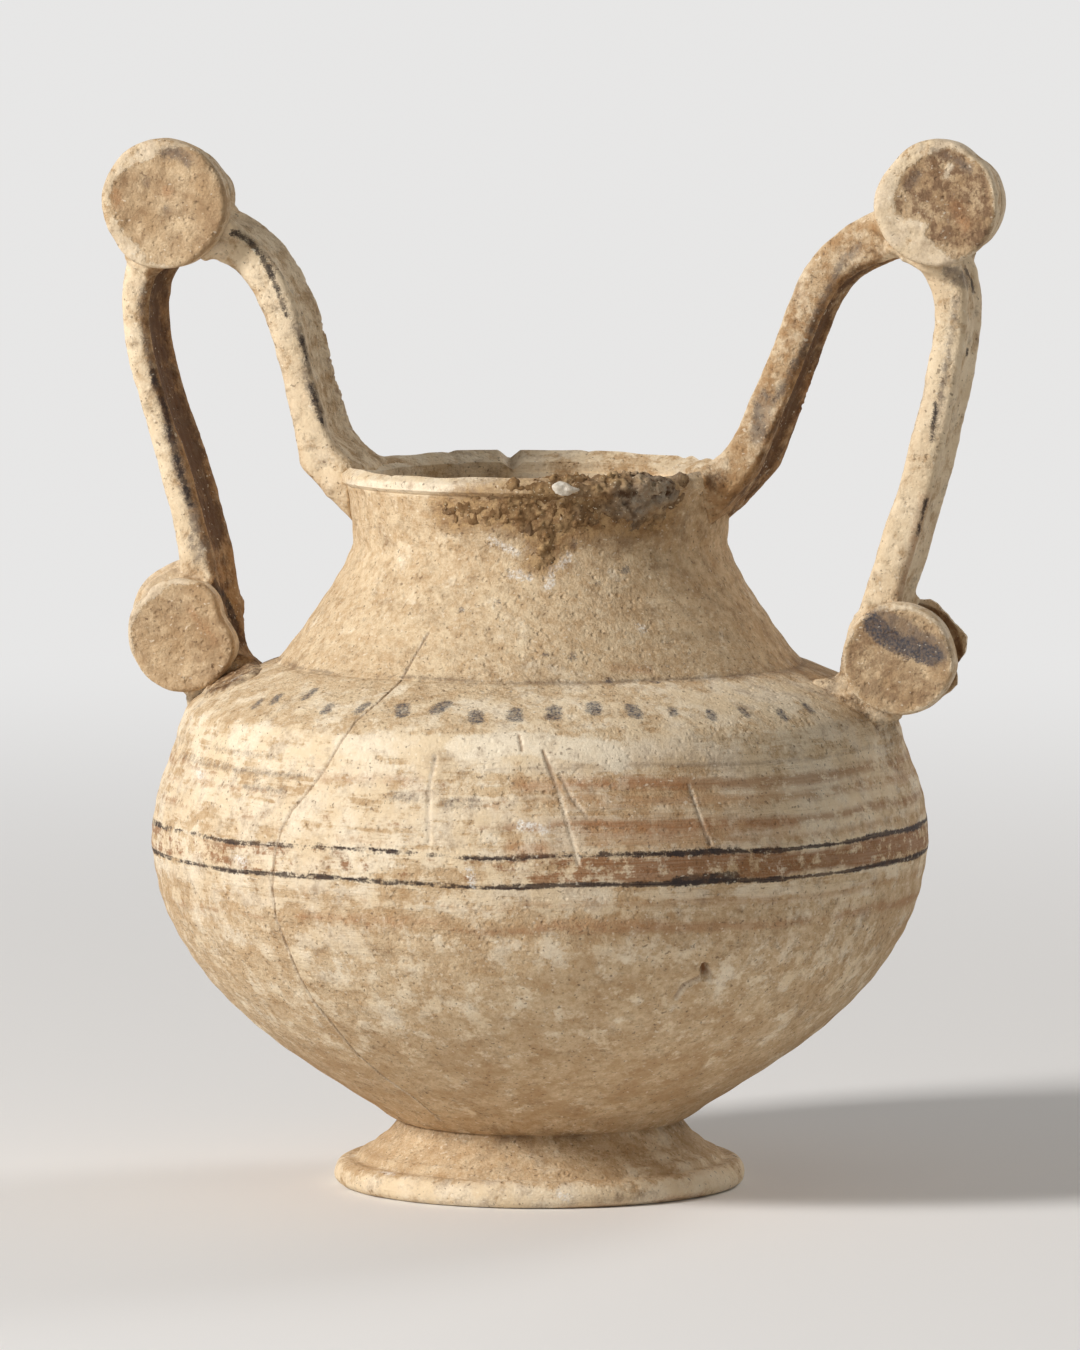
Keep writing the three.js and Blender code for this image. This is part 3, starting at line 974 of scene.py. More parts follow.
@dataclass(frozen=True)
class ClayFinish:
    """The look of a fired clay surface, with its slip, its paint and its dirt."""

    name: str
    clay_pale: Color = tone(224, 198, 160)
    clay_deep: Color = tone(178, 141, 98)
    slip: Color = tone(243, 229, 204)
    slip_deep: Color = tone(231, 210, 176)
    soil: Color = tone(120, 86, 52)
    bare_pale: Color = tone(228, 202, 164)
    bare_deep: Color = tone(182, 150, 112)
    wash: Color = tone(160, 118, 76)
    # How strongly the soil colour is laid on: real soil, and on the handles painted shade too.
    grime_and_shade: float = 0.7
    roughness: float = 0.88
    slip_size: float = 7.0
    relief: float = 0.6
    streaked: bool = False
    rings: tuple[Ring, ...] = ()

    def material(self, effects: Effects) -> bpy.types.Material:
        """Builds the material.

        Args:
            effects: The shared effects.

        Returns:
            The material.
        """
        material, graph, place = new_finish(self.name)
        grain = effects.grain.put_in(graph, {"Place": place})
        streaks = effects.streaks.put_in(graph, {"Place": place})
        bench = Bench(graph, effects, place, grain, streaks)
        color = graph.mix(grain["Mottle"], self.clay_deep, self.clay_pale)
        color = graph.mix(graph.times(grain["Fleck"], 0.55), color, self.clay_deep)
        color = graph.mix(graph.times(grain["Grain"], 0.4), color, self.clay_deep)
        color, cover = self.slipped(bench, color)
        color = self.painted(bench, color)
        color = self.marked(bench, color)
        color = self.dirtied(bench, color)
        self.surfaced(bench, color, cover)
        return material

    def slipped(self, bench: Bench, color: Socket) -> tuple[Socket, Socket]:
        """Lays the pale slip over the clay where it is left.

        Args:
            bench: The material's nodes.
            color: The colour below.

        Returns:
            The new colour, and how much slip shows.
        """
        graph, grain = bench.graph, bench.grain
        streaky = graph.times(graph.minus(bench.streaks["Streak"], 0.5), graph.layer(STREAK))
        bare = bench.mark(graph.layer(BARE), 0.7, 0.5)
        kept = graph.minus(graph.plus(graph.layer(SLIP), streaky), graph.times(bare, 0.9))
        cover = bench.flakes(kept, self.slip_size, 0.2)
        slip = graph.mix(grain["Mottle"], self.slip_deep, self.slip)
        slip = graph.mix(graph.times(grain["Grain"], 0.25), slip, self.clay_pale)
        gone = graph.plus(graph.times(grain["Grain"], 0.3), graph.times(grain["Fleck"], 0.5))
        haze = graph.math("MULTIPLY", graph.layer(HAZE), graph.minus(1.0, gone), clamp=True)
        color = graph.mix(haze, color, self.slip_deep)
        worn = graph.mix(grain["Mottle"], self.bare_deep, self.bare_pale)
        worn = graph.mix(graph.times(grain["Grain"], 0.5), worn, self.bare_deep)
        color = graph.mix(graph.times(bare, 0.8), color, worn)
        return graph.mix(graph.times(cover, 0.92), color, slip), cover

    def painted(self, bench: Bench, color: Socket) -> Socket:
        """Adds the brown wash and the painted rings.

        Args:
            bench: The material's nodes.
            color: The colour below.

        Returns:
            The new colour.
        """
        graph, streaks = bench.graph, bench.streaks
        stroke = graph.times(graph.plus(streaks["Streak"], streaks["Fine streak"]), 0.5)
        stroke = stroke if self.streaked else bench.grain["Fleck"]
        wash = graph.math("MULTIPLY", graph.layer(WASH), graph.plus(stroke, 0.25), clamp=True)
        color = graph.mix(wash, color, self.wash)
        paint = graph.layer(PAINT)
        for ring in self.rings:
            inputs = {"Place": bench.place, "Level": ring.level, "Half width": ring.half_width,
                      "Drift": ring.drift * 4.0}
            depth = bench.effects.ring.put_in(graph, inputs)["Depth"]
            worn = graph.plus(graph.times(streaks["Streak"], 0.5), ring.kept - 0.3)
            left = bench.flakes(graph.plus(paint, worn), 3.4, 0.22)
            thin = ring.strength * 0.86
            dense = graph.ramp(streaks["Fine streak"], 0.0, 1.0, thin, ring.strength)
            share = graph.times(graph.times(bench.mark(depth, ring.ragged, ring.edge), left), dense)
            color = graph.mix(share, color, ring.color)
        return color

    def marked(self, bench: Bench, color: Socket) -> Socket:
        """Adds the strokes, dots and patches that the piece keeps for its vertices.

        Args:
            bench: The material's nodes.
            color: The colour below.

        Returns:
            The new colour.
        """
        graph, grain = bench.graph, bench.grain
        looks = (
            (CREAM, self.slip, 0.6, 0.5, 0.85, 0.3),
            (OCHRE, tone(166, 112, 68), 0.9, 1.4, 0.6, 0.3),
            (GREY, tone(112, 98, 88), 0.9, 0.9, 0.8, 0.45),
            (DOT, tone(66, 68, 78), 0.7, 0.5, 0.95, 0.6),
            (BLACK, tone(48, 40, 38), 0.6, 0.4, 0.95, 0.3),
            (LIME, tone(240, 234, 224), 1.2, 0.4, 1.0, 0.95),
        )
        for pigment, shade, ragged, edge, strength, wear in looks:
            mask = bench.mark(graph.layer(pigment), ragged, edge)
            speck = grain["Grain"] if pigment in (LIME, DOT) else grain["Fleck"]
            worn = graph.math("SUBTRACT", strength, graph.times(speck, wear), clamp=True)
            color = graph.mix(graph.times(mask, worn), color, shade)
        return color

    def dirtied(self, bench: Bench, color: Socket) -> Socket:
        """Adds soil in hollows and joints, which on the handles also carries painted shade, grits,
        and the dirt in cuts.

        Args:
            bench: The material's nodes.
            color: The colour below.

        Returns:
            The new colour.
        """
        graph, grain = bench.graph, bench.grain
        patchy = bench.flakes(graph.layer(SOIL), 4.5, 0.5)
        color = graph.mix(graph.times(patchy, self.grime_and_shade), color, self.soil)
        earth = bench.mark(graph.layer(EARTH), 1.1, 1.8)
        caked = graph.mix(grain["Fleck"], tone(140, 102, 60), tone(190, 156, 110))
        color = graph.mix(graph.times(earth, 0.75), color, caked)
        color = graph.mix(graph.times(grain["Dark grit"], 0.6), color, tone(96, 74, 54))
        color = graph.mix(graph.times(grain["Pale grit"], 0.5), color, tone(244, 232, 210))
        return graph.mix(graph.layer(CUT), color, tone(122, 84, 50))

    def surfaced(self, bench: Bench, color: Socket, cover: Socket) -> None:
        """Adds the relief and the shader.

        Args:
            bench: The material's nodes.
            color: The finished colour.
            cover: How much slip shows.
        """
        graph = bench.graph
        height = graph.times(bench.grain["Relief"], graph.ramp(cover, 0.0, 1.0, 1.0, 0.55))
        height = graph.plus(height, graph.times(cover, 0.45))
        if self.streaked:
            height = graph.plus(height, graph.times(bench.streaks["Relief"], 0.5))
        rough = graph.ramp(cover, 0.0, 1.0, self.roughness, self.roughness - 0.12)
        graph.surface(color, rough, height, self.relief, 0.3)


@dataclass(frozen=True)
class Wound:
    """A crack, a scratch, a pit or a chip, by the pixels that it runs through."""

    pixels: tuple[tuple[float, float], ...]
    half_width: float
    depth: float
    dirt: float = 1.0


BODY_WOUNDS = (
    Wound(((429, 632), (410, 664), (401, 681), (378, 702), (356, 721), (340, 743), (327, 766),
           (311, 788), (292, 810), (281, 830), (275, 852), (272, 887), (276, 919), (286, 944),
           (299, 976), (314, 1002), (337, 1030), (356, 1053), (385, 1078), (413, 1097),
           (440, 1120)), 0.26, 0.4, 0.45),
    Wound(((436, 757), (430, 784), (428, 810), (429, 842)), 0.5, 0.3, 0.2),
    Wound(((519, 735), (522, 750)), 0.4, 0.35, 0.6),
    Wound(((543, 751), (553, 778)), 0.45, 0.4, 0.6),
    Wound(((555, 779), (571, 836), (579, 865)), 0.5, 0.3, 0.12),
    Wound(((560, 774), (571, 797), (588, 818)), 0.4, 0.3, 0.35),
    Wound(((689, 785), (700, 818), (709, 842)), 0.4, 0.3, 0.15),
    Wound(((708, 838), (710, 844)), 0.5, 0.5, 0.7),
    Wound(((706, 969), (707, 976)), 1.3, 2.4, 1.0),
    Wound(((676, 998), (684, 986), (700, 978)), 0.7, 0.7, 0.5),
)

DOT_ROW = (
    (257, 704, 7, 1), (276, 699, 9, 1), (310, 694, 11, 2), (327, 709, 8, 1), (362, 708, 10, 2),
    (402, 710, 9, 0), (441, 707, 9, 2), (476, 717, 8, 0), (515, 715, 9, 0), (554, 713, 10, 0),
    (594, 708, 9, 0), (634, 711, 10, -1), (673, 712, 6, 0), (711, 715, 8, 0), (744, 712, 8, -1),
    (782, 714, 9, -1), (808, 708, 7, -1),
)

SCRATCHES = tuple(
    Stroke(CREAM, wound.pixels, wound.half_width - 0.05)
    for wound in BODY_WOUNDS if wound.dirt < 0.8
)

SPOTS = tuple(Stroke(DOT, ((across, down),), width / PIXELS_PER_MM) for across, down, width in (
    (609, 682, 4.5), (655, 682, 5.0), (573, 657, 4.0), (545, 655, 2.5), (573, 543, 5.0),
    (625, 570, 5.0), (461, 609, 4.0), (498, 602, 2.5), (683, 664, 2.0), (757, 742, 2.0),
    (598, 583, 2.5),
))

LIME_SPECKS = tuple(Stroke(LIME, pixels, 0.9) for pixels in (
    ((491, 540), (503, 546), (517, 554)), ((510, 573), (530, 578)),
    ((549, 588), (552, 570), (568, 557)), ((530, 548), (534, 552)), ((520, 825), (548, 830)),
    ((640, 628), (643, 630)), ((236, 858), (243, 862)), ((470, 872), (474, 884)),
    ((196, 772), (204, 776)), ((385, 1172), (392, 1174)), ((560, 1196), (566, 1198)),
))

POT_STROKES = {
    "foot": (
        Stroke(OCHRE, ((560, 1208), (640, 1205)), 0.8),
        Stroke(OCHRE, ((655, 1202), (700, 1196)), 0.8),
        Stroke(BLACK, ((735, 1156),), 0.7),
    ),
    "body": (
        Stroke(CREAM, ((458, 748), (520, 742), (600, 752), (617, 760)), 3.0),
        Stroke(GREY, ((181, 754), (199, 761), (237, 770), (269, 774), (304, 777)), 0.45),
        Stroke(GREY, ((207, 746), (237, 752), (281, 758)), 0.1),
        Stroke(GREY, ((389, 796), (416, 798)), 0.9),
        Stroke(GREY, ((442, 804), (477, 802)), 1.0),
        Stroke(GREY, ((246, 786), (285, 790)), 0.6),
        Stroke(OCHRE, ((322, 779), (369, 779), (419, 780)), 0.5),
        Stroke(OCHRE, ((518, 786), (560, 785), (617, 782), (683, 785)), 1.3),
        Stroke(OCHRE, ((510, 848), (548, 850)), 1.2),
        Stroke(OCHRE, ((300, 915), (350, 919), (440, 922)), 0.6),
        Stroke(OCHRE, ((586, 828), (668, 831), (759, 826), (795, 823)), 1.5),
        Stroke(OCHRE, ((540, 925), (591, 924), (662, 923)), 0.8),
        Stroke(BLACK, ((672, 853), (700, 852), (738, 849)), 0.8),
        Stroke(BLACK, ((676, 882), (706, 879), (736, 877)), 1.3),
        Stroke(BLACK, ((560, 1133), (590, 1136), (622, 1133)), 0.35),
    ),
    "neck": (Stroke(OCHRE, ((613, 668), (650, 670)), 0.9),),
    "rim": (
        Stroke(CREAM, ((345, 486), (400, 489), (460, 490)), 1.6),
        Stroke(OCHRE, ((410, 485),), 0.5),
    ),
}

CRUST_OUTLINE = (
    (436, 504), (448, 495), (466, 489), (490, 486), (512, 482), (532, 477), (556, 474), (580, 472),
    (606, 472), (640, 470), (660, 473), (674, 482), (684, 490), (679, 503), (670, 508), (672, 522),
    (658, 530), (640, 534), (612, 528), (590, 534), (566, 536), (556, 552), (551, 568), (538, 572),
    (526, 566), (531, 548), (524, 531), (500, 524), (478, 524), (462, 528), (446, 527), (438, 514),
)


@dataclass(frozen=True)
class Chip:
    """A nick in the lip: its pixel, how far it reaches along the lip, and how deep it goes."""

    pixel: tuple[float, float]
    reach: float
    depth: float


RIM_CHIPS = (
    Chip((511, 456), 2.7, 2.1), Chip((676, 461), 2.4, 0.8), Chip((690, 462), 2.8, 0.9),
    Chip((708, 463), 2.0, 0.7), Chip((455, 458), 1.8, 0.4), Chip((585, 457), 2.0, 0.4),
    Chip((384, 486), 1.1, 0.35), Chip((352, 492), 1.5, 0.4),
)
LIP_CRACK = ((511, 456), (512, 464), (510, 474))

PAINT_LEFT = (
    (-180.0, 0.62), (-120.0, 0.52), (-75.0, 0.46), (-45.0, 0.3), (-15.0, 0.36), (2.0, 0.46),
    (18.0, 0.84), (60.0, 0.74), (90.0, 0.7), (140.0, 0.7), (180.0, 0.62),
)


class Skin:
    """The places on a thrown piece, and how much of each cover is left there."""

    def __init__(self, piece: Piece) -> None:
        """Measures the vertices of a piece.

        Args:
            piece: The piece.
        """
        self.points = points_of(piece)
        self.turn = VIEW.turn_of(self.points)
        self.height = self.points[:, 2]
        self.radius = radius_of(self.points)
        self.broad = lumps(self.points, 32.0, 2.2, 3)
        self.left = 0.5 + 0.5 * np.cos(np.radians(self.turn + 40.0))
        self.belly = self.band(72.0, 80.0, 110.0, 119.0)
        self.lower = self.band(28.0, 50.0, 68.0, 80.0)

    def band(self, start: float, full: float, fading: float, end: float) -> Array:
        """A band round the jar that rises over the first two heights and fades over the last."""
        return eased(self.height, start, full) * (1.0 - eased(self.height, fading, end))

    def patch(self, height: float, tall: float, turn: float, wide: float) -> Array:
        """A soft patch around a height and a turn."""
        return swell(self.height, height, tall) * swell(self.turn, turn, wide)

    def slip(self) -> Array:
        """How much slip is left, with painted light on the right of the belly and of the foot.

        Returns:
            One share for each vertex.
        """
        lip = np.where(self.height > 168.0, 0.5, 0.0) + 0.6 * (1.0 - eased(self.height, 4.0, 7.5))
        mouth = (self.height > 150.0) & (self.radius < 42.5)
        slip = 0.14 + (0.24 + 0.42 * self.left) * self.belly + (0.16 + 0.1 * self.left) * self.lower
        slip += np.maximum(lip, 0.5 * mouth) + 0.12 * self.broad
        slip += 0.45 * self.patch(113.0, 5.0, -3.0, 20.0) + 0.5 * self.patch(121.0, 4.0, 42.0, 24.0)
        # Pale patch on the right of the belly: partly real pale slip, partly a painted highlight.
        # Pale patch on the right of the foot: painted light.
        slip += 0.55 * (self.patch(102.0, 10.0, 52.0, 17.0) + self.patch(11.0, 5.0, 52.0, 20.0))
        return slip + (0.24 * self.left + 0.1) * swell(self.height, 121.0, 5.0)

    def haze(self) -> Array:
        """How much of a thin pale haze lies over the clay, with a painted sheen on the right of the
        belly.

        Returns:
            One share for each vertex.
        """
        neck = eased(self.height, 112.0, 124.0)
        foot = 1.0 - eased(self.height, 12.0, 22.0)
        haze = 0.3 + 0.12 * neck + 0.25 * foot + 0.16 * self.belly + 0.14 * self.broad
        haze += self.left * (0.42 * eased(self.height, 100.0, 120.0) + 0.3 * self.lower)
        # Paler on the right of the belly: partly real pale haze, partly a painted sheen.
        pale_and_sheen_side = swell(self.turn, 56.0, 22.0) * eased(self.height, 60.0, 84.0)
        return np.clip(haze + 0.5 * pale_and_sheen_side * (1.0 - neck), 0.0, 0.95)

    def wash(self) -> Array:
        """How much brown wash is left, most of it at the right of the belly.

        Returns:
            One share for each vertex.
        """
        right = eased(self.turn, -8.0, 12.0) * (1.0 - eased(self.turn, 20.0, 44.0))
        right += 0.6 * swell(np.abs(self.turn), 150.0, 30.0)
        wash = (0.08 + 0.54 * right) * swell(self.height, 97.0, 14.0)
        wash += 0.16 * swell(self.height, 71.0, 8.0) + 0.12 * self.broad * self.belly
        return np.clip(wash, 0.0, 1.0)

    def paint(self) -> Array:
        """How much of the painted rings is left."""
        return np.interp(self.turn, *zip(*PAINT_LEFT)) + 0.14 * self.broad

    def soil(self) -> Array:
        """How much soil is left, most of it inside, under the lip and at the handles' roots, with
        painted shade on the right of the neck and painted light on the right of the foot.

        Returns:
            One share for each vertex.
        """
        points, height = self.points, self.height
        inside = 1.0 - eased(self.radius, 38.0, 41.5)
        soil = 0.1 + 0.14 * self.broad
        soil += 0.5 * inside * (height > 120.0) * (1.0 - eased(height, 148.0, 160.0))
        front = 0.1 + 0.9 * swell(self.turn, 12.0, 30.0)
        soil += 0.62 * (1.0 - inside) * swell(height, 163.0, 7.5) * front
        # Darker on the right of the neck: partly a real browner tone, partly painted shade.
        soil += 0.2 * swell(self.turn, 55.0, 40.0) * eased(height, 122.0, 150.0)
        soil += 0.30 * swell(height, 15.5, 2.6) + 0.16 * swell(height, 126.5, 1.6)
        for side in (-1.0, 1.0):
            root = np.hypot(points[:, 0] - side * 80.0, points[:, 1]) + np.abs(height - 124.0) * 0.6
            soil += 0.34 * (1.0 - eased(root, 12.0, 30.0))
        soil += 0.66 * self.patch(2.4, 1.8, 24.0, 15.0)
        # Painted light: less soil on the right of the foot, so that it looks lit there.
        return soil - 0.26 * (1.0 - eased(height, 12.0, 18.0)) * swell(self.turn, 42.0, 26.0)


@dataclass
class ThrownJar:
    """The foot, body, neck and rim, which were thrown on the wheel."""

    effects: Effects
    finish: ClayFinish = ClayFinish("thrown_clay_finish", streaked=True, rings=BELLY_RINGS)
    ridge_pitch: float = 5.4
    ridge_height: float = 0.1
    wobble: float = 0.4
    dot_pitch: float = 7.2
    wound_margin: float = 2.2
    dot_margin: float = 3.2
    finest_margin: float = 1.1
    lip_base: float = 168.9
    lip_top: float = 171.5
    pieces: dict[str, Piece] = field(default_factory=dict)

    def build(self) -> None:
        """Builds the four thrown pieces."""
        material = self.finish.material(self.effects)
        for node, fine, coarse, steps in (("foot", 0.6, 3.0, 360), ("body", 1.4, 5.0, 400),
                                          ("neck", 1.1, 3.0, 330), ("rim", 0.6, 1.2, 360)):
            outline, closed = turned_outline(node)
            line = resampled(outline, fine, coarse, closed)
            profile = np.column_stack([line[:, 0], np.zeros(len(line)), line[:, 1]])
            piece = spun(f"{node}_thrown", profile, steps, Vector(), Vector((0, 0, 1)))
            self.throw(piece, node)
            self.pieces[node] = piece
            hand_over(piece, material, "thrown_clay", node)

    def throw(self, piece: Piece, node: str) -> None:
        """Gives a turned piece the unevenness of a thrown one.

        Args:
            piece: The piece.
            node: The node that it stands for.
        """
        points = points_of(piece)
        radius = radius_of(points)
        height = points[:, 2]
        drift = lumps(points, 70.0, 3.1, 2)
        ridges = np.sin(math.tau * height / self.ridge_pitch + 2.0 * drift) * self.ridge_height
        uneven = self.wobble * lumps(points, 55.0, 7.7, 2) + 0.12 * lumps(points, 7.0, 1.3, 3)
        moved = (ridges + uneven) * eased(radius, 6.0, 30.0)
        factor = (radius + moved) / np.maximum(radius, 1e-6)
        points[:, 0] *= factor
        points[:, 1] *= factor
        if node == "rim":
            base, top = (corner.z * PER_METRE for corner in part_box("rim"))
            share = eased(height, base, top)
            rear = swell(np.abs(VIEW.turn_of(points)), 180.0, 55.0)
            level = 0.5 * lumps(points * [1, 1, 0], 16.0, 4.4, 3) - 0.1 + 1.1 * rear
            points[:, 2] += share * level
        if node == "foot":
            ledge = 0.5 * swell(radius, 38.6, 1.4) - 0.5 * swell(radius, 41.4, 1.6)
            ledge += 0.35 * swell(radius, 47.2, 1.4) - 1.0 * swell(radius, 44.7, 1.1)
            upper = eased(normals_of(piece)[:, 2], 0.15, 0.5)
            points += normals_of(piece) * (ledge * upper)[:, None]
        points[:, 2] = np.maximum(points[:, 2], 0.0)
        put_points(piece, points)

    def wound(self) -> None:
        """Cuts the cracks, scratches, pits and chips into the pieces."""
        for node in ("body", "neck", "foot"):
            piece = self.pieces[node]
            trace = Trace(piece)
            lines = [trace.line(wound.pixels) for wound in BODY_WOUNDS]
            dots = [trace.line([(x, y)]) for x, y, _, _ in DOT_ROW] if node == "body" else []
            points = points_of(piece)
            near = np.zeros(len(points), bool)
            for line in [found for found in lines + dots if len(found)]:
                margin = self.wound_margin if len(line) > 1 else self.dot_margin
                near |= distance_to_line(points, line) < margin
            refined(piece, near)
            points = points_of(piece)
            finest = np.zeros(len(points), bool)
            for line in [found for found in lines if len(found)]:
                finest |= distance_to_line(points, line) < self.finest_margin
            refined(piece, finest)
            self.cut(piece, lines)
            smooth_shading(piece)

    def cut(self, piece: Piece, lines: Sequence[Array]) -> None:
        """Presses the lines of the wounds into a piece.

        Args:
            piece: The piece.
            lines: The places of each wound on it.
        """
        points = points_of(piece)
        inward = -normals_of(piece)
        dirt = np.zeros(len(points))
        sway = lumps(points, 3.0, 9.2, 2)
        for wound, line in zip(BODY_WOUNDS, lines):
            if not len(line):
                continue
            away = distance_to_line(points, line) * (1.0 + 0.35 * sway)
            share = 1.0 - eased(away, wound.half_width * 0.35, wound.half_width * 1.6)
            points += inward * (share * wound.depth)[:, None]
            dirt = np.maximum(dirt, (1.0 - eased(away, 0.2, wound.half_width * 1.15)) * wound.dirt)
        put_points(piece, points)
        write_layer(piece, CUT, dirt)

    def chip_rim(self) -> None:
        """Breaks small pieces out of the rim and cracks its rear lip."""
        piece = self.pieces["rim"]
        trace = Trace(piece)
        points = points_of(piece)
        dirt = np.zeros(len(points))
        turns, radius = VIEW.turn_of(points), radius_of(points)
        top = eased(points[:, 2], self.lip_base, self.lip_top)
        for chip in RIM_CHIPS:
            spot = trace.spot(*chip.pixel)
            if spot is None:
                continue
            gap = (turns - VIEW.turn_of(spot[None]) + 180.0) % 360.0 - 180.0
            share = 1.0 - np.clip(np.abs(np.radians(gap)) * radius / chip.reach, 0.0, 1.0)
            points[:, 2] -= share * chip.depth * top
            dirt = np.maximum(dirt, share * 0.25 * top * chip.depth / 2.0)
        away = distance_to_line(points, trace.line(LIP_CRACK))
        dirt = np.maximum(dirt, 0.8 * (1.0 - eased(away, 0.1, 0.4)))
        put_points(piece, points)
        write_layer(piece, CUT, dirt)
        smooth_shading(piece)

    def dress(self) -> None:
        """Writes where slip, wash, soil and paint are left, with some painted light and shade among
        them, and the painted marks.
        """
        for node, piece in self.pieces.items():
            skin = Skin(piece)
            write_layer(piece, SLIP, skin.slip())
            write_layer(piece, HAZE, skin.haze())
            write_layer(piece, STREAK, 0.08 + 0.62 * skin.belly)
            write_layer(piece, WASH, skin.wash())
            write_layer(piece, PAINT, skin.paint())
            write_layer(piece, SOIL, skin.soil())
            self.mark(piece, node)

    def mark(self, piece: Piece, node: str) -> None:
        """Adds dots, spots, specks and patches to a piece.

        Args:
            piece: The piece.
            node: The node that it stands for.
        """
        marks = Marks(piece)
        trace = Trace(piece)
        marks.draw(trace, SCRATCHES + SPOTS + LIME_SPECKS + POT_STROKES[node])
        if node == "body":
            self.dot(marks, trace)
        if node in ("neck", "rim"):
            pixels = VIEW.pixels_of(marks.points)
            depth = depth_in_outline(pixels, np.array(CRUST_OUTLINE)) / PIXELS_PER_MM + 1.3
            front = np.abs(VIEW.turn_of(marks.points)) < 75.0
            marks.area(EARTH, np.where(front & (radius_of(marks.points) > 42.0), depth, NO_MARK))
        marks.write()

    def dot(self, marks: Marks, trace: Trace) -> None:
        """Paints the row of dots on the shoulder, all round between the handles.

        Args:
            marks: The marks of the body.
            trace: The body's faces.
        """
        for across, down, tall, slant in DOT_ROW:
            aside, rise = slant * 2.2, tall * 0.35
            ends = ((across + aside, down - rise), (across - aside, down + rise))
            half_width = 1.75 if 380 <= across <= 660 else 1.1
            marks.stroke(DOT, trace.line(ends), half_width + tall * 0.01)
        turns = [92.0] + [99.2 + self.dot_pitch * step for step in range(20)]
        for number, turn in enumerate(turns):
            away = VIEW.place(turn, 400.0, 120.2 + 0.8 * math.sin(number * 2.3))
            towards = Vector((-away[0], -away[1], 0.0)).normalized()
            found = trace.tree.ray_cast(Vector(away), towards)[0]
            if found is not None:
                spot = np.array([found])
                tall = np.array([[0.0, 0.0, 0.7 * math.sin(number * 1.7)]])
                marks.stroke(DOT, np.vstack([spot, spot + tall]), 1.6 - 0.3 * (number % 3))


HANDLE_STROKES = {
    "left": (
        Stroke(GREY, ((144, 283), (141, 319), (149, 357), (156, 388)), 0.6),
        Stroke(BLACK, ((153, 372), (157, 388)), 0.8),
        Stroke(GREY, ((163, 400), (172, 440), (184, 485), (195, 520), (204, 552)), 1.5),
        Stroke(BLACK, ((162, 398), (168, 421), (174, 449), (182, 477), (190, 503)), 0.7),
        Stroke(GREY, ((190, 538), (197, 558)), 1.0),
        Stroke(GREY, ((206, 538), (214, 568)), 1.0),
        Stroke(CREAM, ((198, 538), (209, 578)), 0.3),
        Stroke(BLACK, ((216, 584), (223, 596), (229, 608), (234, 620), (236, 631)), 1.5),
        Stroke(BLACK, ((233, 232), (246, 239), (256, 249), (266, 263), (273, 279)), 0.75),
        Stroke(GREY, ((248, 238), (262, 250), (274, 265), (285, 279), (292, 293)), 0.5),
        Stroke(BLACK, ((275, 283), (281, 299), (287, 316)), 0.55),
        Stroke(GREY, ((297, 327), (304, 344), (308, 365), (307, 376)), 1.2),
        Stroke(BLACK, ((301, 338), (307, 360)), 0.5),
        Stroke(GREY, ((309, 384), (318, 404), (325, 424)), 1.3),
        Stroke(BLACK, ((311, 386), (316, 403), (322, 421)), 0.6),
        Stroke(BLACK, ((302, 314),), 0.5),
        Stroke(LIME, ((207, 668), (214, 672)), 0.6),
        Stroke(LIME, ((232, 680), (240, 676)), 0.5),
        *(Stroke(EARTH, ((x, y), (x + 7, y + 4)), 0.2) for x, y in (
            (330, 449), (341, 458), (352, 453), (362, 461), (374, 456), (386, 464), (345, 469),
            (336, 436))),
    ),
    "right": (
        Stroke(GREY, ((859, 246), (842, 262), (828, 290), (815, 318), (804, 350), (788, 378),
                              (774, 402)), 0.9),
        Stroke(GREY, ((764, 398), (759, 435)), 2.0),
        Stroke(OCHRE, ((808, 387), (795, 420)), 1.2),
        Stroke(GREY, ((957, 298), (950, 345), (941, 395), (931, 440)), 0.6),
        Stroke(BLACK, ((936, 402), (931, 440)), 0.4),
        # This ochre line in the groove is partly real brown and partly painted shade.
        Stroke(OCHRE, ((926, 499), (917, 536), (907, 573), (899, 595)), 1.2),
        Stroke(BLACK, ((926, 500), (918, 534)), 0.5),
        Stroke(BLACK, ((967, 350), (967, 354)), 0.5),
        Stroke(GREY, ((952, 273), (966, 281)), 1.9),
        Stroke(BLACK, ((966, 270), (971, 280), (973, 291)), 0.9),
        Stroke(CREAM, ((953, 293), (949, 324), (945, 357), (940, 385)), 0.45),
    ),
}

ROOT_PADS = {
    "left": ((197, 694, 2.0), (208, 687, 2.8), (220, 679, 3.2), (231, 669, 3.0), (239, 663, 2.6),
             (250, 668, 2.8), (258, 671, 2.2), (250, 678, 2.8), (238, 684, 3.0), (225, 690, 2.8),
             (210, 695, 2.2), (222, 684, 3.0), (240, 674, 3.0), (247, 669, 2.8), (253, 673, 2.8),
             (245, 675, 3.0), (235, 679, 3.0), (226, 686, 2.8)),
    "right": ((818, 684, 1.5), (830, 686, 2.2), (842, 691, 2.6), (854, 698, 3.0), (866, 706, 3.0),
              (876, 714, 2.6), (888, 717, 1.8), (898, 713, 1.6), (880, 708, 2.4), (862, 712, 2.4),
              (848, 704, 2.4), (834, 696, 2.0)),
}

RIM_PADS = {
    "left": ((370, 462, 3.2), (378, 462, 3.0), (387, 462, 2.6), (396, 462, 2.1), (404, 462, 1.6),
             (410, 462, 1.2)),
    "right": ((690, 466, 1.2), (700, 470, 1.8), (706, 480, 2.0), (708, 492, 2.0), (712, 504, 1.8),
              (718, 514, 1.2)),
}


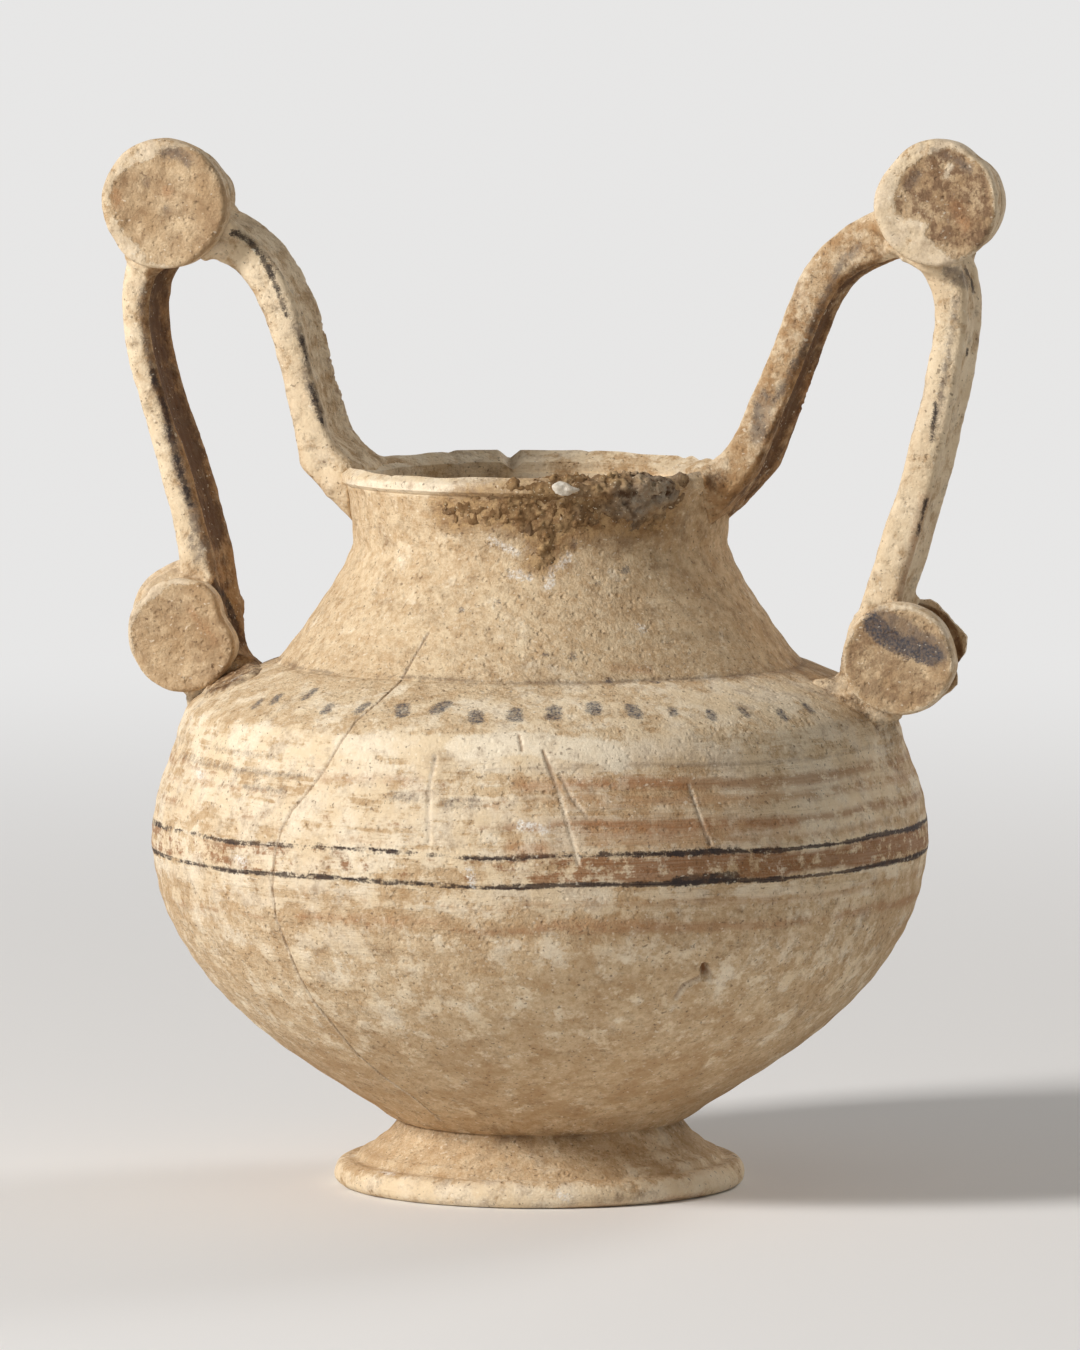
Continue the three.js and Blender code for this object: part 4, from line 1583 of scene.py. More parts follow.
@dataclass
class Handle:
    """One strap handle, pressed on the rim and the shoulder."""

    side: str
    effects: Effects
    finish: ClayFinish
    pot: BVHTree
    discs: BVHTree
    voxel: float = 0.62
    groove: float = 1.9
    edge_bead: float = 2.2
    luting_radius: float = 1.8
    luting_spacing: float = 1.4
    filling_reach: float = 18.0
    filling_radius: float = 2.6
    filling_sink: float = 1.5
    root_reach: float = 6.0
    root_spread: float = 2.8
    piece: Optional[Piece] = None
    hollow: Array = field(init=False)
    away: Array = field(init=False)
    within: Array = field(init=False)

    @property
    def sign(self) -> float:
        """Which way the handle stands out: -1 on the left, 1 on the right."""
        return -1.0 if self.side == "left" else 1.0

    def build(self) -> None:
        """Builds the strap with the clay that lutes it on."""
        node = f"{self.side}_handle"
        piece = copy_of(node, f"{node}_strap")
        self.piece = piece
        modified(piece, "REMESH", mode="VOXEL", voxel_size=1.0 / PER_METRE)
        self.press_on()
        self.lute()
        modified(piece, "REMESH", mode="VOXEL", voxel_size=self.voxel / PER_METRE)
        modified(piece, "SMOOTH", factor=0.5, iterations=10)
        self.shape()
        smooth_shading(piece, 70.0)
        hand_over(piece, self.finish.material(self.effects), "handle_clay", node)

    def lute(self) -> None:
        """Presses clay along the joints with the discs, and pads of it on the shoulder."""
        points, facing = points_of(self.piece), normals_of(self.piece)
        chosen: list[Array] = []
        for point, normal in zip(points, facing):
            near, towards = self.discs.find_nearest(Vector(point), 2.0)[:2]
            if near is None or abs(float(Vector(normal) @ towards)) > 0.75:
                continue
            if all(np.linalg.norm(point - other) > self.luting_spacing for other in chosen):
                chosen.append(point)
        balls = [(spot, self.luting_radius + 0.3 * noise.noise(spot * 0.2))
                 for spot in map(Vector, chosen)]
        for pads, front in ((ROOT_PADS[self.side], -11.4), (RIM_PADS[self.side], 40.0)):
            for start, end in zip(np.array(pads), np.array(pads[1:])):
                for share in (0.0, 0.33, 0.67):
                    across, down, size = start + (end - start) * share
                    ray = VIEW.ray(across, down)
                    reach = (front - VIEW.eye.y) / ray.y
                    spot, normal, _, distance = self.pot.ray_cast(VIEW.eye, ray)
                    if spot is not None and distance < reach:
                        balls.append((spot - normal * size * 0.5, size))
                    elif front < 0.0:
                        balls.append((VIEW.eye + ray * reach, size))
        balls += self.between([spot for spot, _ in balls[len(chosen):] if spot.z < 145.0])
        add_balls(self.piece, balls, 2)
        log.info("%s: %d lumps of luting clay", self.piece.name, len(balls))

    def between(self, spots: Sequence[Vector]) -> list[tuple[Vector, float]]:
        """Fills the shoulder between pads of luting clay with more clay.

        Args:
            spots: The middles of the pads.

        Returns:
            The middle and the radius of each new lump.
        """
        found: list[tuple[Vector, float]] = []
        for first, second in combinations(spots, 2):
            seat, out, _, away = self.pot.find_nearest((first + second) / 2.0)
            middle = seat - out * self.filling_sink
            if away > 3.0 or (first - second).length > self.filling_reach:
                continue
            if all((middle - other).length > self.luting_spacing for other, _ in found):
                found.append((middle, self.filling_radius))
        return found

    def press_on(self) -> None:
        """Spreads the ends of the strap smoothly over the pot and presses them down."""
        points, facing = points_of(self.piece), normals_of(self.piece)
        ragged = 1.0 + 0.5 * lumps(points, 6.0, 3.7, 2)
        for i, point in enumerate(points):
            near, normal = self.pot.find_nearest(Vector(point), self.root_reach)[:2]
            if near is None:
                continue
            out = np.array(normal)
            over = max(0.0, float((point - np.array(near)) @ out))
            share = max(0.0, 1.0 - over / self.root_reach) ** 2
            aside = facing[i] - out * float(facing[i] @ out)
            sink = 1.3 * max(0.0, 1.0 - over / 2.4)
            points[i] = point + aside * (share * self.root_spread * ragged[i]) - out * sink
        put_points(self.piece, points)

    def hole_middle(self, points: Array) -> tuple[Array, Array]:
        """The middle of the hole that the strap goes round, next to each place.

        Args:
            points: The places.

        Returns:
            How far the middle lies from the jar's axis, and its height.
        """
        level = np.clip(points[:, 2], 140.0, 210.0)
        return 82.0 - (215.0 - level) * 0.26, level

    def facing_hole(self, points: Array, facing: Array) -> Array:
        """How much each place faces the hole that the strap goes round.

        Args:
            points: The places.
            facing: The directions that they face.

        Returns:
            One share for each place.
        """
        middle, level = self.hole_middle(points)
        towards = np.column_stack([self.sign * middle - points[:, 0], level - points[:, 2]])
        towards /= np.maximum(np.linalg.norm(towards, axis=1), 1e-6)[:, None]
        return eased(facing[:, 0] * towards[:, 0] + facing[:, 2] * towards[:, 1], 0.1, 0.7)

    def shape(self) -> None:
        """Hollows the broad faces, roughens the edges and makes the strap uneven by hand."""
        points, facing = points_of(self.piece), normals_of(self.piece)
        from_pot = np.array([self.pot.find_nearest(Vector(p), 30.0)[3] or 30.0 for p in points])
        from_discs = np.array([self.discs.find_nearest(Vector(p), 30.0)[3] or 30.0 for p in points])
        away = np.minimum(from_pot, from_discs)
        broad = 1.0 - eased(np.abs(facing[:, 1]), 0.3, 0.75)
        across = np.clip(1.0 - (np.abs(points[:, 1]) / (11.0 - self.edge_bead)) ** 2, 0.0, 1.0)
        hollow = broad * across * eased(away, 2.0, 9.0)
        uneven = 0.32 * lumps(points, 14.0, 5.5, 3) + 0.12 * lumps(points, 2.6, 8.1, 3)
        low_joint = (1.0 - eased(away, 1.5, 6.0)) * (points[:, 2] < 150.0)
        crumbs = 0.3 * lumps(points, 1.8, 2.9, 3) * low_joint
        pores = self.rough_edge(points) * np.minimum(0.9 * lumps(points, 1.5, 6.2, 4) + 0.1, 0.25)
        ridges = 0.08 * np.sin(points[:, 1] * 1.9 + 2.0 * lumps(points, 30.0, 4.8, 1)) * broad
        moved = uneven + crumbs + pores + ridges - hollow * self.groove
        put_points(self.piece, points + facing * moved[:, None])
        self.hollow, self.away, self.within = hollow, away, self.facing_hole(points, facing)

    def rough_edge(self, points: Array) -> Array:
        """Where the strap's rear edge has crumbled away.

        Args:
            points: The places.

        Returns:
            One share for each place.
        """
        inner = eased(-np.abs(points[:, 0]), -92.0, -78.0)
        rear = eased(points[:, 1], 5.5, 9.0)
        level, reach = (200.0, 20.0) if self.side == "left" else (192.0, 7.0)
        return inner * rear * swell(points[:, 2], level, reach)

    def dress(self) -> None:
        """Writes where slip and soil are left, painted shade in the loops and at the low roots, and
        the painted strokes.
        """
        piece = self.piece
        points, facing = points_of(piece), normals_of(piece)
        broad = lumps(points, 18.0, 12.2, 3)
        front = eased(-facing[:, 1], 0.2, 0.8)
        outer = eased(np.abs(points[:, 0]) - self.hole_middle(points)[0], 2.0, 8.0)
        # Painted shade: faces turned towards the loop, on the left handle's outer branch and the
        # right handle's inner branch, lose slip and haze and gain wash and dark soil, standing in
        # for the shade inside the loop.
        shade = self.within * (0.15 + 0.85 * outer if self.side == "left" else 1.0 - outer)
        joint = 1.0 - eased(self.away, 0.6, 5.0)
        brown = front * (1.0 - outer) if self.side == "right" else 0.0
        slip = 0.64 + 0.08 * front - 0.62 * shade - 0.06 * self.hollow + 0.12 * broad - 0.15 * joint
        write_layer(piece, SLIP, slip - 0.34 * brown)
        write_layer(piece, WASH, np.clip(0.06 + 0.4 * shade + 0.2 * broad + 0.3 * brown, 0.0, 1.0))
        pores = self.rough_edge(points) * eased(-lumps(points, 1.5, 6.2, 4), 0.0, 0.3)
        soil = 0.1 * broad + shade * (0.4 + 0.7 * self.hollow)
        soil += 0.3 * joint * (0.3 + 0.7 * self.within) * eased(-points[:, 2], -150.0, -140.0)
        soil *= 1.0 - 0.6 * eased(-points[:, 2], -158.0, -146.0)
        # Painted shade: the low roots and pads, below about 130 mm, get more dark soil for the
        # shade that lies on them.
        soil += 0.34 * eased(-points[:, 2], -136.0, -128.0)
        write_layer(piece, SOIL, soil)
        write_layer(piece, HAZE, np.clip(0.62 - 0.6 * shade + 0.25 * broad - 0.3 * brown, 0.0, 1.0))
        write_layer(piece, CUT, 0.75 * pores)
        marks = Marks(piece)
        marks.draw(Trace(piece), HANDLE_STROKES[self.side])
        marks.write()


@dataclass(frozen=True)
class DiscShape:
    """What sets one disc apart: its outline, its patches and its strokes."""

    node: str
    seed: float
    cuts: tuple[tuple[float, float, float], ...] = ()
    patch: tuple[tuple[float, float], ...] = ()
    strokes: tuple[Stroke, ...] = ()
    slip: float = 0.62
    browned: float = 0.15
    dished: float = 0.5


DISCS = (
    DiscShape(
        "left_upper_front_disc", 1.7, ((200.0, 24.0, 0.5), (318.0, 18.0, 0.4), (95.0, 22.0, -0.3)),
        ((167, 151), (142, 163), (123, 171), (112, 185), (111, 200), (113, 214), (125, 232),
         (142, 249), (147, 262), (180, 266), (205, 256), (220, 236), (228, 205), (224, 178),
         (206, 156), (187, 148)),
        (
            Stroke(GREY, ((165, 153), (176, 153), (187, 160)), 1.4),
            Stroke(GREY, ((147, 182),), 1.0),
            Stroke(GREY, ((166, 208), (168, 213)), 0.7),
            Stroke(OCHRE, ((167, 192),), 1.5),
            Stroke(OCHRE, ((116, 193), (117, 203)), 1.1),
        ), 0.5),
    DiscShape("left_upper_rear_disc", 4.2, ((40.0, 16.0, 0.7),), (), (
        Stroke(GREY, ((196, 152), (212, 168), (222, 190)), 1.6),
    ), 0.5),
    DiscShape(
        "right_upper_front_disc", 2.6, ((142.0, 26.0, 1.1), (50.0, 14.0, 0.5), (285.0, 20.0, -0.3)),
        ((925, 157), (949, 147), (964, 155), (984, 170), (991, 190), (993, 214), (986, 244),
         (956, 260), (939, 249), (924, 234), (931, 222), (911, 219), (899, 217), (893, 202),
         (896, 190), (906, 170)),
        (
            Stroke(GREY, ((935, 152), (955, 158), (968, 170)), 1.0),
            Stroke(GREY, ((918, 173), (908, 186)), 0.9),
            Stroke(CREAM, ((950, 166), (946, 176)), 0.7),
            Stroke(OCHRE, ((955, 205), (965, 225)), 1.0),
        ), 0.66, 0.75),
    DiscShape("right_upper_rear_disc", 5.9, ((70.0, 20.0, 0.6),)),
    DiscShape(
        "left_lower_front_disc", 3.4, ((135.0, 8.0, 1.0), (220.0, 20.0, 0.4), (24.0, 24.0, 2.7)),
        ((148, 602), (172, 586), (205, 584), (226, 600), (238, 622), (241, 648), (231, 674),
         (208, 693), (178, 695), (150, 680), (134, 656), (131, 626)),
        (Stroke(OCHRE, ((190, 610), (215, 640)), 0.4),
         Stroke(BLACK, ((217, 585), (223, 596), (229, 608), (234, 620), (236, 631)), 0.9)), 0.56),
    DiscShape("left_lower_rear_disc", 6.3, ((20.0, 18.0, 0.5), (125.0, 42.0, 1.9)), (), (), 0.75),
    DiscShape(
        "right_lower_front_disc", 7.1, ((20.0, 18.0, 0.5), (250.0, 16.0, 0.4)),
        ((848, 646), (860, 624), (884, 611), (914, 611), (938, 628), (951, 654), (947, 684),
         (926, 705), (894, 713), (864, 701), (847, 674)),
        (
            Stroke(GREY, ((880, 622), (896, 630), (912, 640), (934, 652)), 3.6),
            Stroke(DOT, ((873, 624), (886, 637), (900, 645), (916, 650), (932, 655)), 2.5),
            Stroke(CREAM, ((880, 608), (905, 606), (932, 618)), 0.3),
        ), 0.5, 0.45),
)


@dataclass
class Disc:
    """One hand-pressed disc on a handle."""

    shape: DiscShape
    effects: Effects
    finish: ClayFinish
    sink: float = 0.8
    edge_round: float = 1.2
    spacing: float = 0.75
    steps: int = 150
    piece: Optional[Piece] = None

    def __post_init__(self) -> None:
        """Reads the disc's place from its node."""
        low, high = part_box(self.shape.node)
        self.centre = np.array((low + high) / 2.0) * PER_METRE
        self.radius = (high.z - low.z) / 2.0 * PER_METRE
        self.front = -1.0 if self.centre[1] < 0 else 1.0
        self.seat = (high.y if self.front < 0 else low.y) * PER_METRE
        self.thickness = (high.y - low.y) * PER_METRE

    def profile(self) -> Array:
        """The disc's outline in radius and distance from its seat.

        Returns:
            The points from the middle of the seat to the middle of the face.
        """
        rim, out = self.radius, self.thickness
        turn = self.edge_round
        points = [(0.0, -self.sink), (rim - turn * 1.6, -self.sink), (rim - turn, 0.2)]
        for level, corner in ((turn, (-60, -30, 0)), (out - turn, (0, 30, 60, 90))):
            for angle in map(math.radians, corner):
                points.append((rim - turn + turn * math.cos(angle), level + turn * math.sin(angle)))
        floor = out - self.shape.dished
        points += [(rim * 0.72, out - 0.15), (rim * 0.4, floor), (0.0, floor)]
        return np.array(points)

    def build(self) -> None:
        """Builds the disc."""
        flat = spaced(self.profile(), self.spacing)
        profile = np.column_stack([
            self.centre[0] + flat[:, 0],
            self.seat + self.front * flat[:, 1],
            np.full(len(flat), self.centre[2]),
        ])
        name = f"{self.shape.node}_pressed"
        middle = Vector(self.centre) / PER_METRE
        self.piece = spun(name, profile, self.steps, middle, Vector((0, 1, 0)))
        self.press()
        smooth_shading(self.piece, 60.0)
        hand_over(self.piece, self.finish.material(self.effects), "disc_clay", self.shape.node)

    def polar(self, points: Array) -> tuple[Array, Array]:
        """How far places lie from the disc's axis, and their angles round it in degrees."""
        across, rise = points[:, 0] - self.centre[0], points[:, 2] - self.centre[2]
        return np.hypot(across, rise), np.degrees(np.arctan2(rise, across))

    def widen(self, points: Array, factor: Array) -> None:
        """Moves places outwards from the disc's axis by a factor of their own."""
        for axis in (0, 2):
            points[:, axis] = self.centre[axis] + (points[:, axis] - self.centre[axis]) * factor

    def press(self) -> None:
        """Makes the outline and the faces uneven, as fingers leave them."""
        points = points_of(self.piece)
        radius, angle = self.polar(points)
        angle %= 360.0
        turn = np.radians(angle)
        around = np.column_stack([np.cos(turn), np.sin(turn), np.zeros(len(turn))])
        moved = 0.35 * lumps(around * 12.0, 9.0, self.shape.seed, 3)
        for middle, spread, depth in self.shape.cuts:
            gap = (angle - middle + 180.0) % 360.0 - 180.0
            moved -= depth * swell(gap, 0.0, spread)
        share = eased(radius, self.radius * 0.45, self.radius)
        self.widen(points, 1.0 + moved * share / np.maximum(radius, 1e-6))
        outer = eased(self.front * (points[:, 1] - self.seat), 1.0, self.thickness)
        relief = 0.28 * lumps(points, 7.0, self.shape.seed, 3) + 0.16 * lumps(points, 1.7, 4.0, 3)
        edge = 1.0 + 1.5 * (1.0 - eased(np.abs(radius - self.radius), 0.0, 2.0)) * 0.4
        points[:, 1] += self.front * (relief * edge * outer - 0.12 * outer)
        if self.shape.patch:
            depth = self.patch_depth(points)
            points[:, 1] -= self.front * 0.22 * eased(depth + 0.5 * relief / 0.3, -0.3, 0.3) * outer
        put_points(self.piece, points)

    def patch_depth(self, points: Array) -> Array:
        """How deep places lie inside the patch where the slip is gone.

        Args:
            points: The places.

        Returns:
            One signed depth for each place.
        """
        face = self.seat + self.front * self.thickness
        corners = []
        for across, down in self.shape.patch:
            direction = VIEW.ray(across, down)
            reach = (face - VIEW.eye.y) / direction.y
            spot = VIEW.eye + direction * reach
            corners.append((spot.x, spot.z))
        flat = points[:, [0, 2]]
        depth = depth_in_outline(flat, np.array(corners))
        on_face = self.front * (points[:, 1] - self.seat) > self.thickness * 0.6
        return np.where(on_face, depth, NO_MARK)

    def dress(self) -> None:
        """Writes where slip and soil are left, and the strokes."""
        points = points_of(self.piece)
        broad = lumps(points, 11.0, self.shape.seed * 2.0, 3)
        out = self.front * (points[:, 1] - self.seat)
        slip = self.shape.slip + 0.12 * broad
        slip += 0.1 * eased(out, self.thickness - 1.5, self.thickness)
        write_layer(self.piece, SLIP, slip)
        wash = np.full(len(points), 0.1)
        if self.shape.patch:
            wash += self.shape.browned * eased(self.patch_depth(points), -0.5, 0.8)
        write_layer(self.piece, WASH, np.clip(wash + 0.2 * broad, 0.0, 1.0))
        soil = 0.08 + 0.16 * broad + 0.35 * (1.0 - eased(out, 0.0, 2.0))
        write_layer(self.piece, SOIL, soil)
        write_layer(self.piece, HAZE, np.clip(0.5 + 0.25 * broad, 0.0, 1.0))
        marks = Marks(self.piece)
        if self.shape.patch:
            marks.area(BARE, self.patch_depth(points))
        marks.draw(Trace(self.piece), self.shape.strokes)
        marks.write()


@dataclass
class BrokenDisc(Disc):
    """The thin disc behind the right lower one, whose edge is broken in scallops."""

    lobes: tuple[tuple[float, float], ...] = (
        (-100.0, 1.0), (-73.0, 1.06), (-52.0, 0.99), (-36.0, 1.04), (-16.0, 0.82), (2.0, 1.0),
        (18.0, 1.08), (36.0, 0.97), (56.0, 1.0), (75.0, 1.07), (95.0, 0.98), (140.0, 1.0),
        (200.0, 1.02), (240.0, 0.98), (260.0, 1.0),
    )

    def profile(self) -> Array:
        """The outline of a shallow dish whose hollow faces its seat.

        Returns:
            The points from the middle of the seat to the middle of the back.
        """
        rim, out = self.radius, self.thickness
        return np.array([
            (0.0, -self.sink), (rim * 0.42, -self.sink), (rim * 0.52, 1.6), (rim * 0.68, 2.4),
            (rim * 0.84, 1.9), (rim * 0.95, 0.6), (rim, 0.2), (rim * 1.01, 0.9), (rim * 0.97, 2.6),
            (rim * 0.86, out - 1.1), (rim * 0.6, out - 0.3), (rim * 0.3, out - 0.1),
            (0.0, out - 0.2),
        ])

    def press(self) -> None:
        """Breaks the edge in scallops and makes the faces uneven."""
        points = points_of(self.piece)
        radius, angle = self.polar(points)
        angle = np.where(angle < -100.0, angle + 360.0, angle)
        table = np.array(self.lobes)
        scale = np.interp(angle, table[:, 0], table[:, 1]) + 0.02 * lumps(points, 2.0, 3.3, 3)
        self.widen(points, 1.0 + (scale - 1.0) * eased(radius, self.radius * 0.4, self.radius))
        points[:, 1] += 0.35 * lumps(points, 3.4, 6.6, 3) * eased(radius, 5.0, 8.0)
        put_points(self.piece, points)

    def dress(self) -> None:
        """Browns and darkens the hollow, partly as painted shade, and leaves the broken edge pale.
        """
        super().dress()
        points = points_of(self.piece)
        radius = self.polar(points)[0]
        out = points[:, 1] - self.seat
        share = radius / self.radius
        # The hollow faces the front disc; its dark soil and wash are partly painted shade.
        hollow = (1.0 - eased(out, 1.8, 3.4)) * (1.0 - eased(share, 0.9, 0.98))
        write_layer(self.piece, SOIL, 0.1 + 0.8 * hollow)
        write_layer(self.piece, SLIP, 0.62 - 0.7 * hollow)
        write_layer(self.piece, WASH, np.clip(0.8 * hollow, 0.0, 1.0))


@dataclass
class RimCrust:
    """The earth that is caked on the front of the rim, and a bit of shell in it."""

    effects: Effects
    surroundings: BVHTree
    finish: GrittyFinish = GrittyFinish(
        "caked_earth_finish", deep=tone(138, 106, 70), pale=tone(190, 158, 114),
        gap=tone(74, 50, 30), lump=tone(164, 154, 138))
    shell_finish: GrittyFinish = GrittyFinish(
        "shell_finish", deep=tone(196, 184, 166), pale=tone(232, 226, 214),
        gap=tone(150, 130, 106), lump=tone(232, 226, 214), grit=0.5, grain_size=0.5, relief=0.2,
        roughness=0.6)
    voxel: float = 0.38
    bed_step: float = 6.5
    nodule_count: int = 640
    shell_pixel: Corner = (566, 489)
    shell_radius: float = 3.2
    piece: Optional[Piece] = None

    def seat(self, pixel: Array) -> Optional[tuple[Vector, Vector]]:
        """Finds where the front of the rim carries a pixel, also just above its lip.

        Args:
            pixel: The pixel, across and down.

        Returns:
            The place and the direction that the pot faces there, or nothing.
        """
        for drop in range(0, 18, 3):
            ray = VIEW.ray(pixel[0], pixel[1] + drop)
            spot, normal = self.surroundings.ray_cast(VIEW.eye, ray)[:2]
            if spot is not None and spot.dot(VIEW.back) > 25.0:
                return spot + VIEW.up * drop / PIXELS_PER_MM, normal
        return None

    def heap(self) -> list[tuple[Vector, float]]:
        """Lays a bed of flat lumps, and nodules on it.

        Returns:
            The middle and the radius of each lump.
        """
        rng = np.random.default_rng(7)
        corners = np.array(CRUST_OUTLINE)
        low, high = corners.min(0), corners.max(0)
        bed = [np.array((x, y)) for x in np.arange(low[0], high[0], self.bed_step)
               for y in np.arange(low[1], high[1], self.bed_step)]
        loose = [rng.uniform(low, high) for _ in range(self.nodule_count)]
        found: list[tuple[Vector, float]] = []
        for number, pixel in enumerate(bed + loose):
            pixel = pixel + rng.uniform(-2.0, 2.0, 2)
            depth = float(depth_in_outline(pixel[None], corners)[0])
            seat = self.seat(pixel) if depth > 0.0 else None
            if seat is None:
                continue
            heavy = math.exp(-(((pixel[0] - 650) / 38) ** 2) - ((pixel[1] - 495) / 20) ** 2)
            rise = 0.02 + (0.45 + 1.7 * heavy) * float(eased(np.array(depth), 0.0, 14.0))
            if number < len(bed):
                size = rng.uniform(1.8, 2.5)
                up = rise - size
            else:
                size = rng.uniform(0.3, 0.62) * (1.0 + 1.9 * heavy)
                up = rise - (0.6 - 0.3 * heavy) * size
            found.append((seat[0] + seat[1] * up, size))
        return found

    def build(self) -> None:
        """Heaps the lumps on the rim and roughens them."""
        lumps_of_earth = self.heap()
        bpy.ops.object.select_all(action="DESELECT")
        first, size = lumps_of_earth[0]
        bpy.ops.mesh.primitive_ico_sphere_add(subdivisions=2, radius=size / PER_METRE,
                                              location=first / PER_METRE)
        piece = bpy.context.active_object
        piece.name = piece.data.name = "rim_crust"
        self.piece = piece
        bpy.ops.object.transform_apply(location=True, rotation=True, scale=True)
        add_balls(piece, lumps_of_earth[1:], 1)
        modified(piece, "REMESH", mode="VOXEL", voxel_size=self.voxel / PER_METRE)
        points, facing = points_of(piece), normals_of(piece)
        rough = 0.5 * lumps(points, 3.0, 1.1, 4) + 0.22 * lumps(points, 0.8, 5.0, 2)
        points += facing * rough[:, None]
        put_points(piece, points)
        modified(piece, "SMOOTH", factor=0.35, iterations=1)
        over = np.array([self.surroundings.find_nearest(Vector(p), 9.0)[3] or 9.0 for p in points])
        heavy = swell(VIEW.turn_of(points), 34.0, 13.0) * swell(points[:, 2], 170.0, 6.0)
        # The soil layer here darkens the crust where it lies low on the pot and in the crevices
        # between its lumps.
        low = 1.0 - eased(over + 0.5 * rough, 0.2, 0.9 + 0.9 * heavy)
        crevice = eased(-rough, 0.05, 0.4) * (0.16 + 0.84 * heavy)
        write_layer(piece, SOIL, np.clip(0.4 * low + 0.9 * crevice, 0.0, 1.0))
        write_layer(piece, HAZE, np.clip(0.9 * heavy + 0.5 * lumps(points, 7.0, 3.0, 2), 0.0, 0.9))
        smooth_shading(piece, 80.0)
        hand_over(piece, self.finish.material(self.effects), "thrown_clay")
        self.add_shell()

    def add_shell(self) -> None:
        """Adds the small white flake of shell that sticks out of the earth."""
        middle = self.surroundings.ray_cast(VIEW.eye, VIEW.ray(*self.shell_pixel))[0]
        bpy.ops.object.select_all(action="DESELECT")
        spot = (middle + VIEW.back * 1.5) / PER_METRE
        bpy.ops.mesh.primitive_uv_sphere_add(
            segments=48, ring_count=24, radius=self.shell_radius / PER_METRE, location=spot)
        shell = bpy.context.active_object
        shell.name = shell.data.name = "rim_shell"
        bpy.ops.object.transform_apply(location=True, rotation=True, scale=True)
        points = points_of(shell)
        centre = np.array(spot) * PER_METRE
        offset = points - centre
        right, up, back = (np.array(axis) for axis in (VIEW.right, VIEW.up, VIEW.back))
        across, rise, out = offset @ right, offset @ up, offset @ back
        rise = rise * (0.44 - 0.09 * across) - 0.06 * across
        points = centre + np.outer(across, right) + np.outer(rise, up) + np.outer(out * 0.45, back)
        points += normals_of(shell) * (0.5 * lumps(points, 1.9, 2.2, 3))[:, None]
        put_points(shell, points)
        tidy_mesh(shell)
        smooth_shading(shell, 50.0)
        hand_over(shell, self.shell_finish.material(self.effects), "thrown_clay")


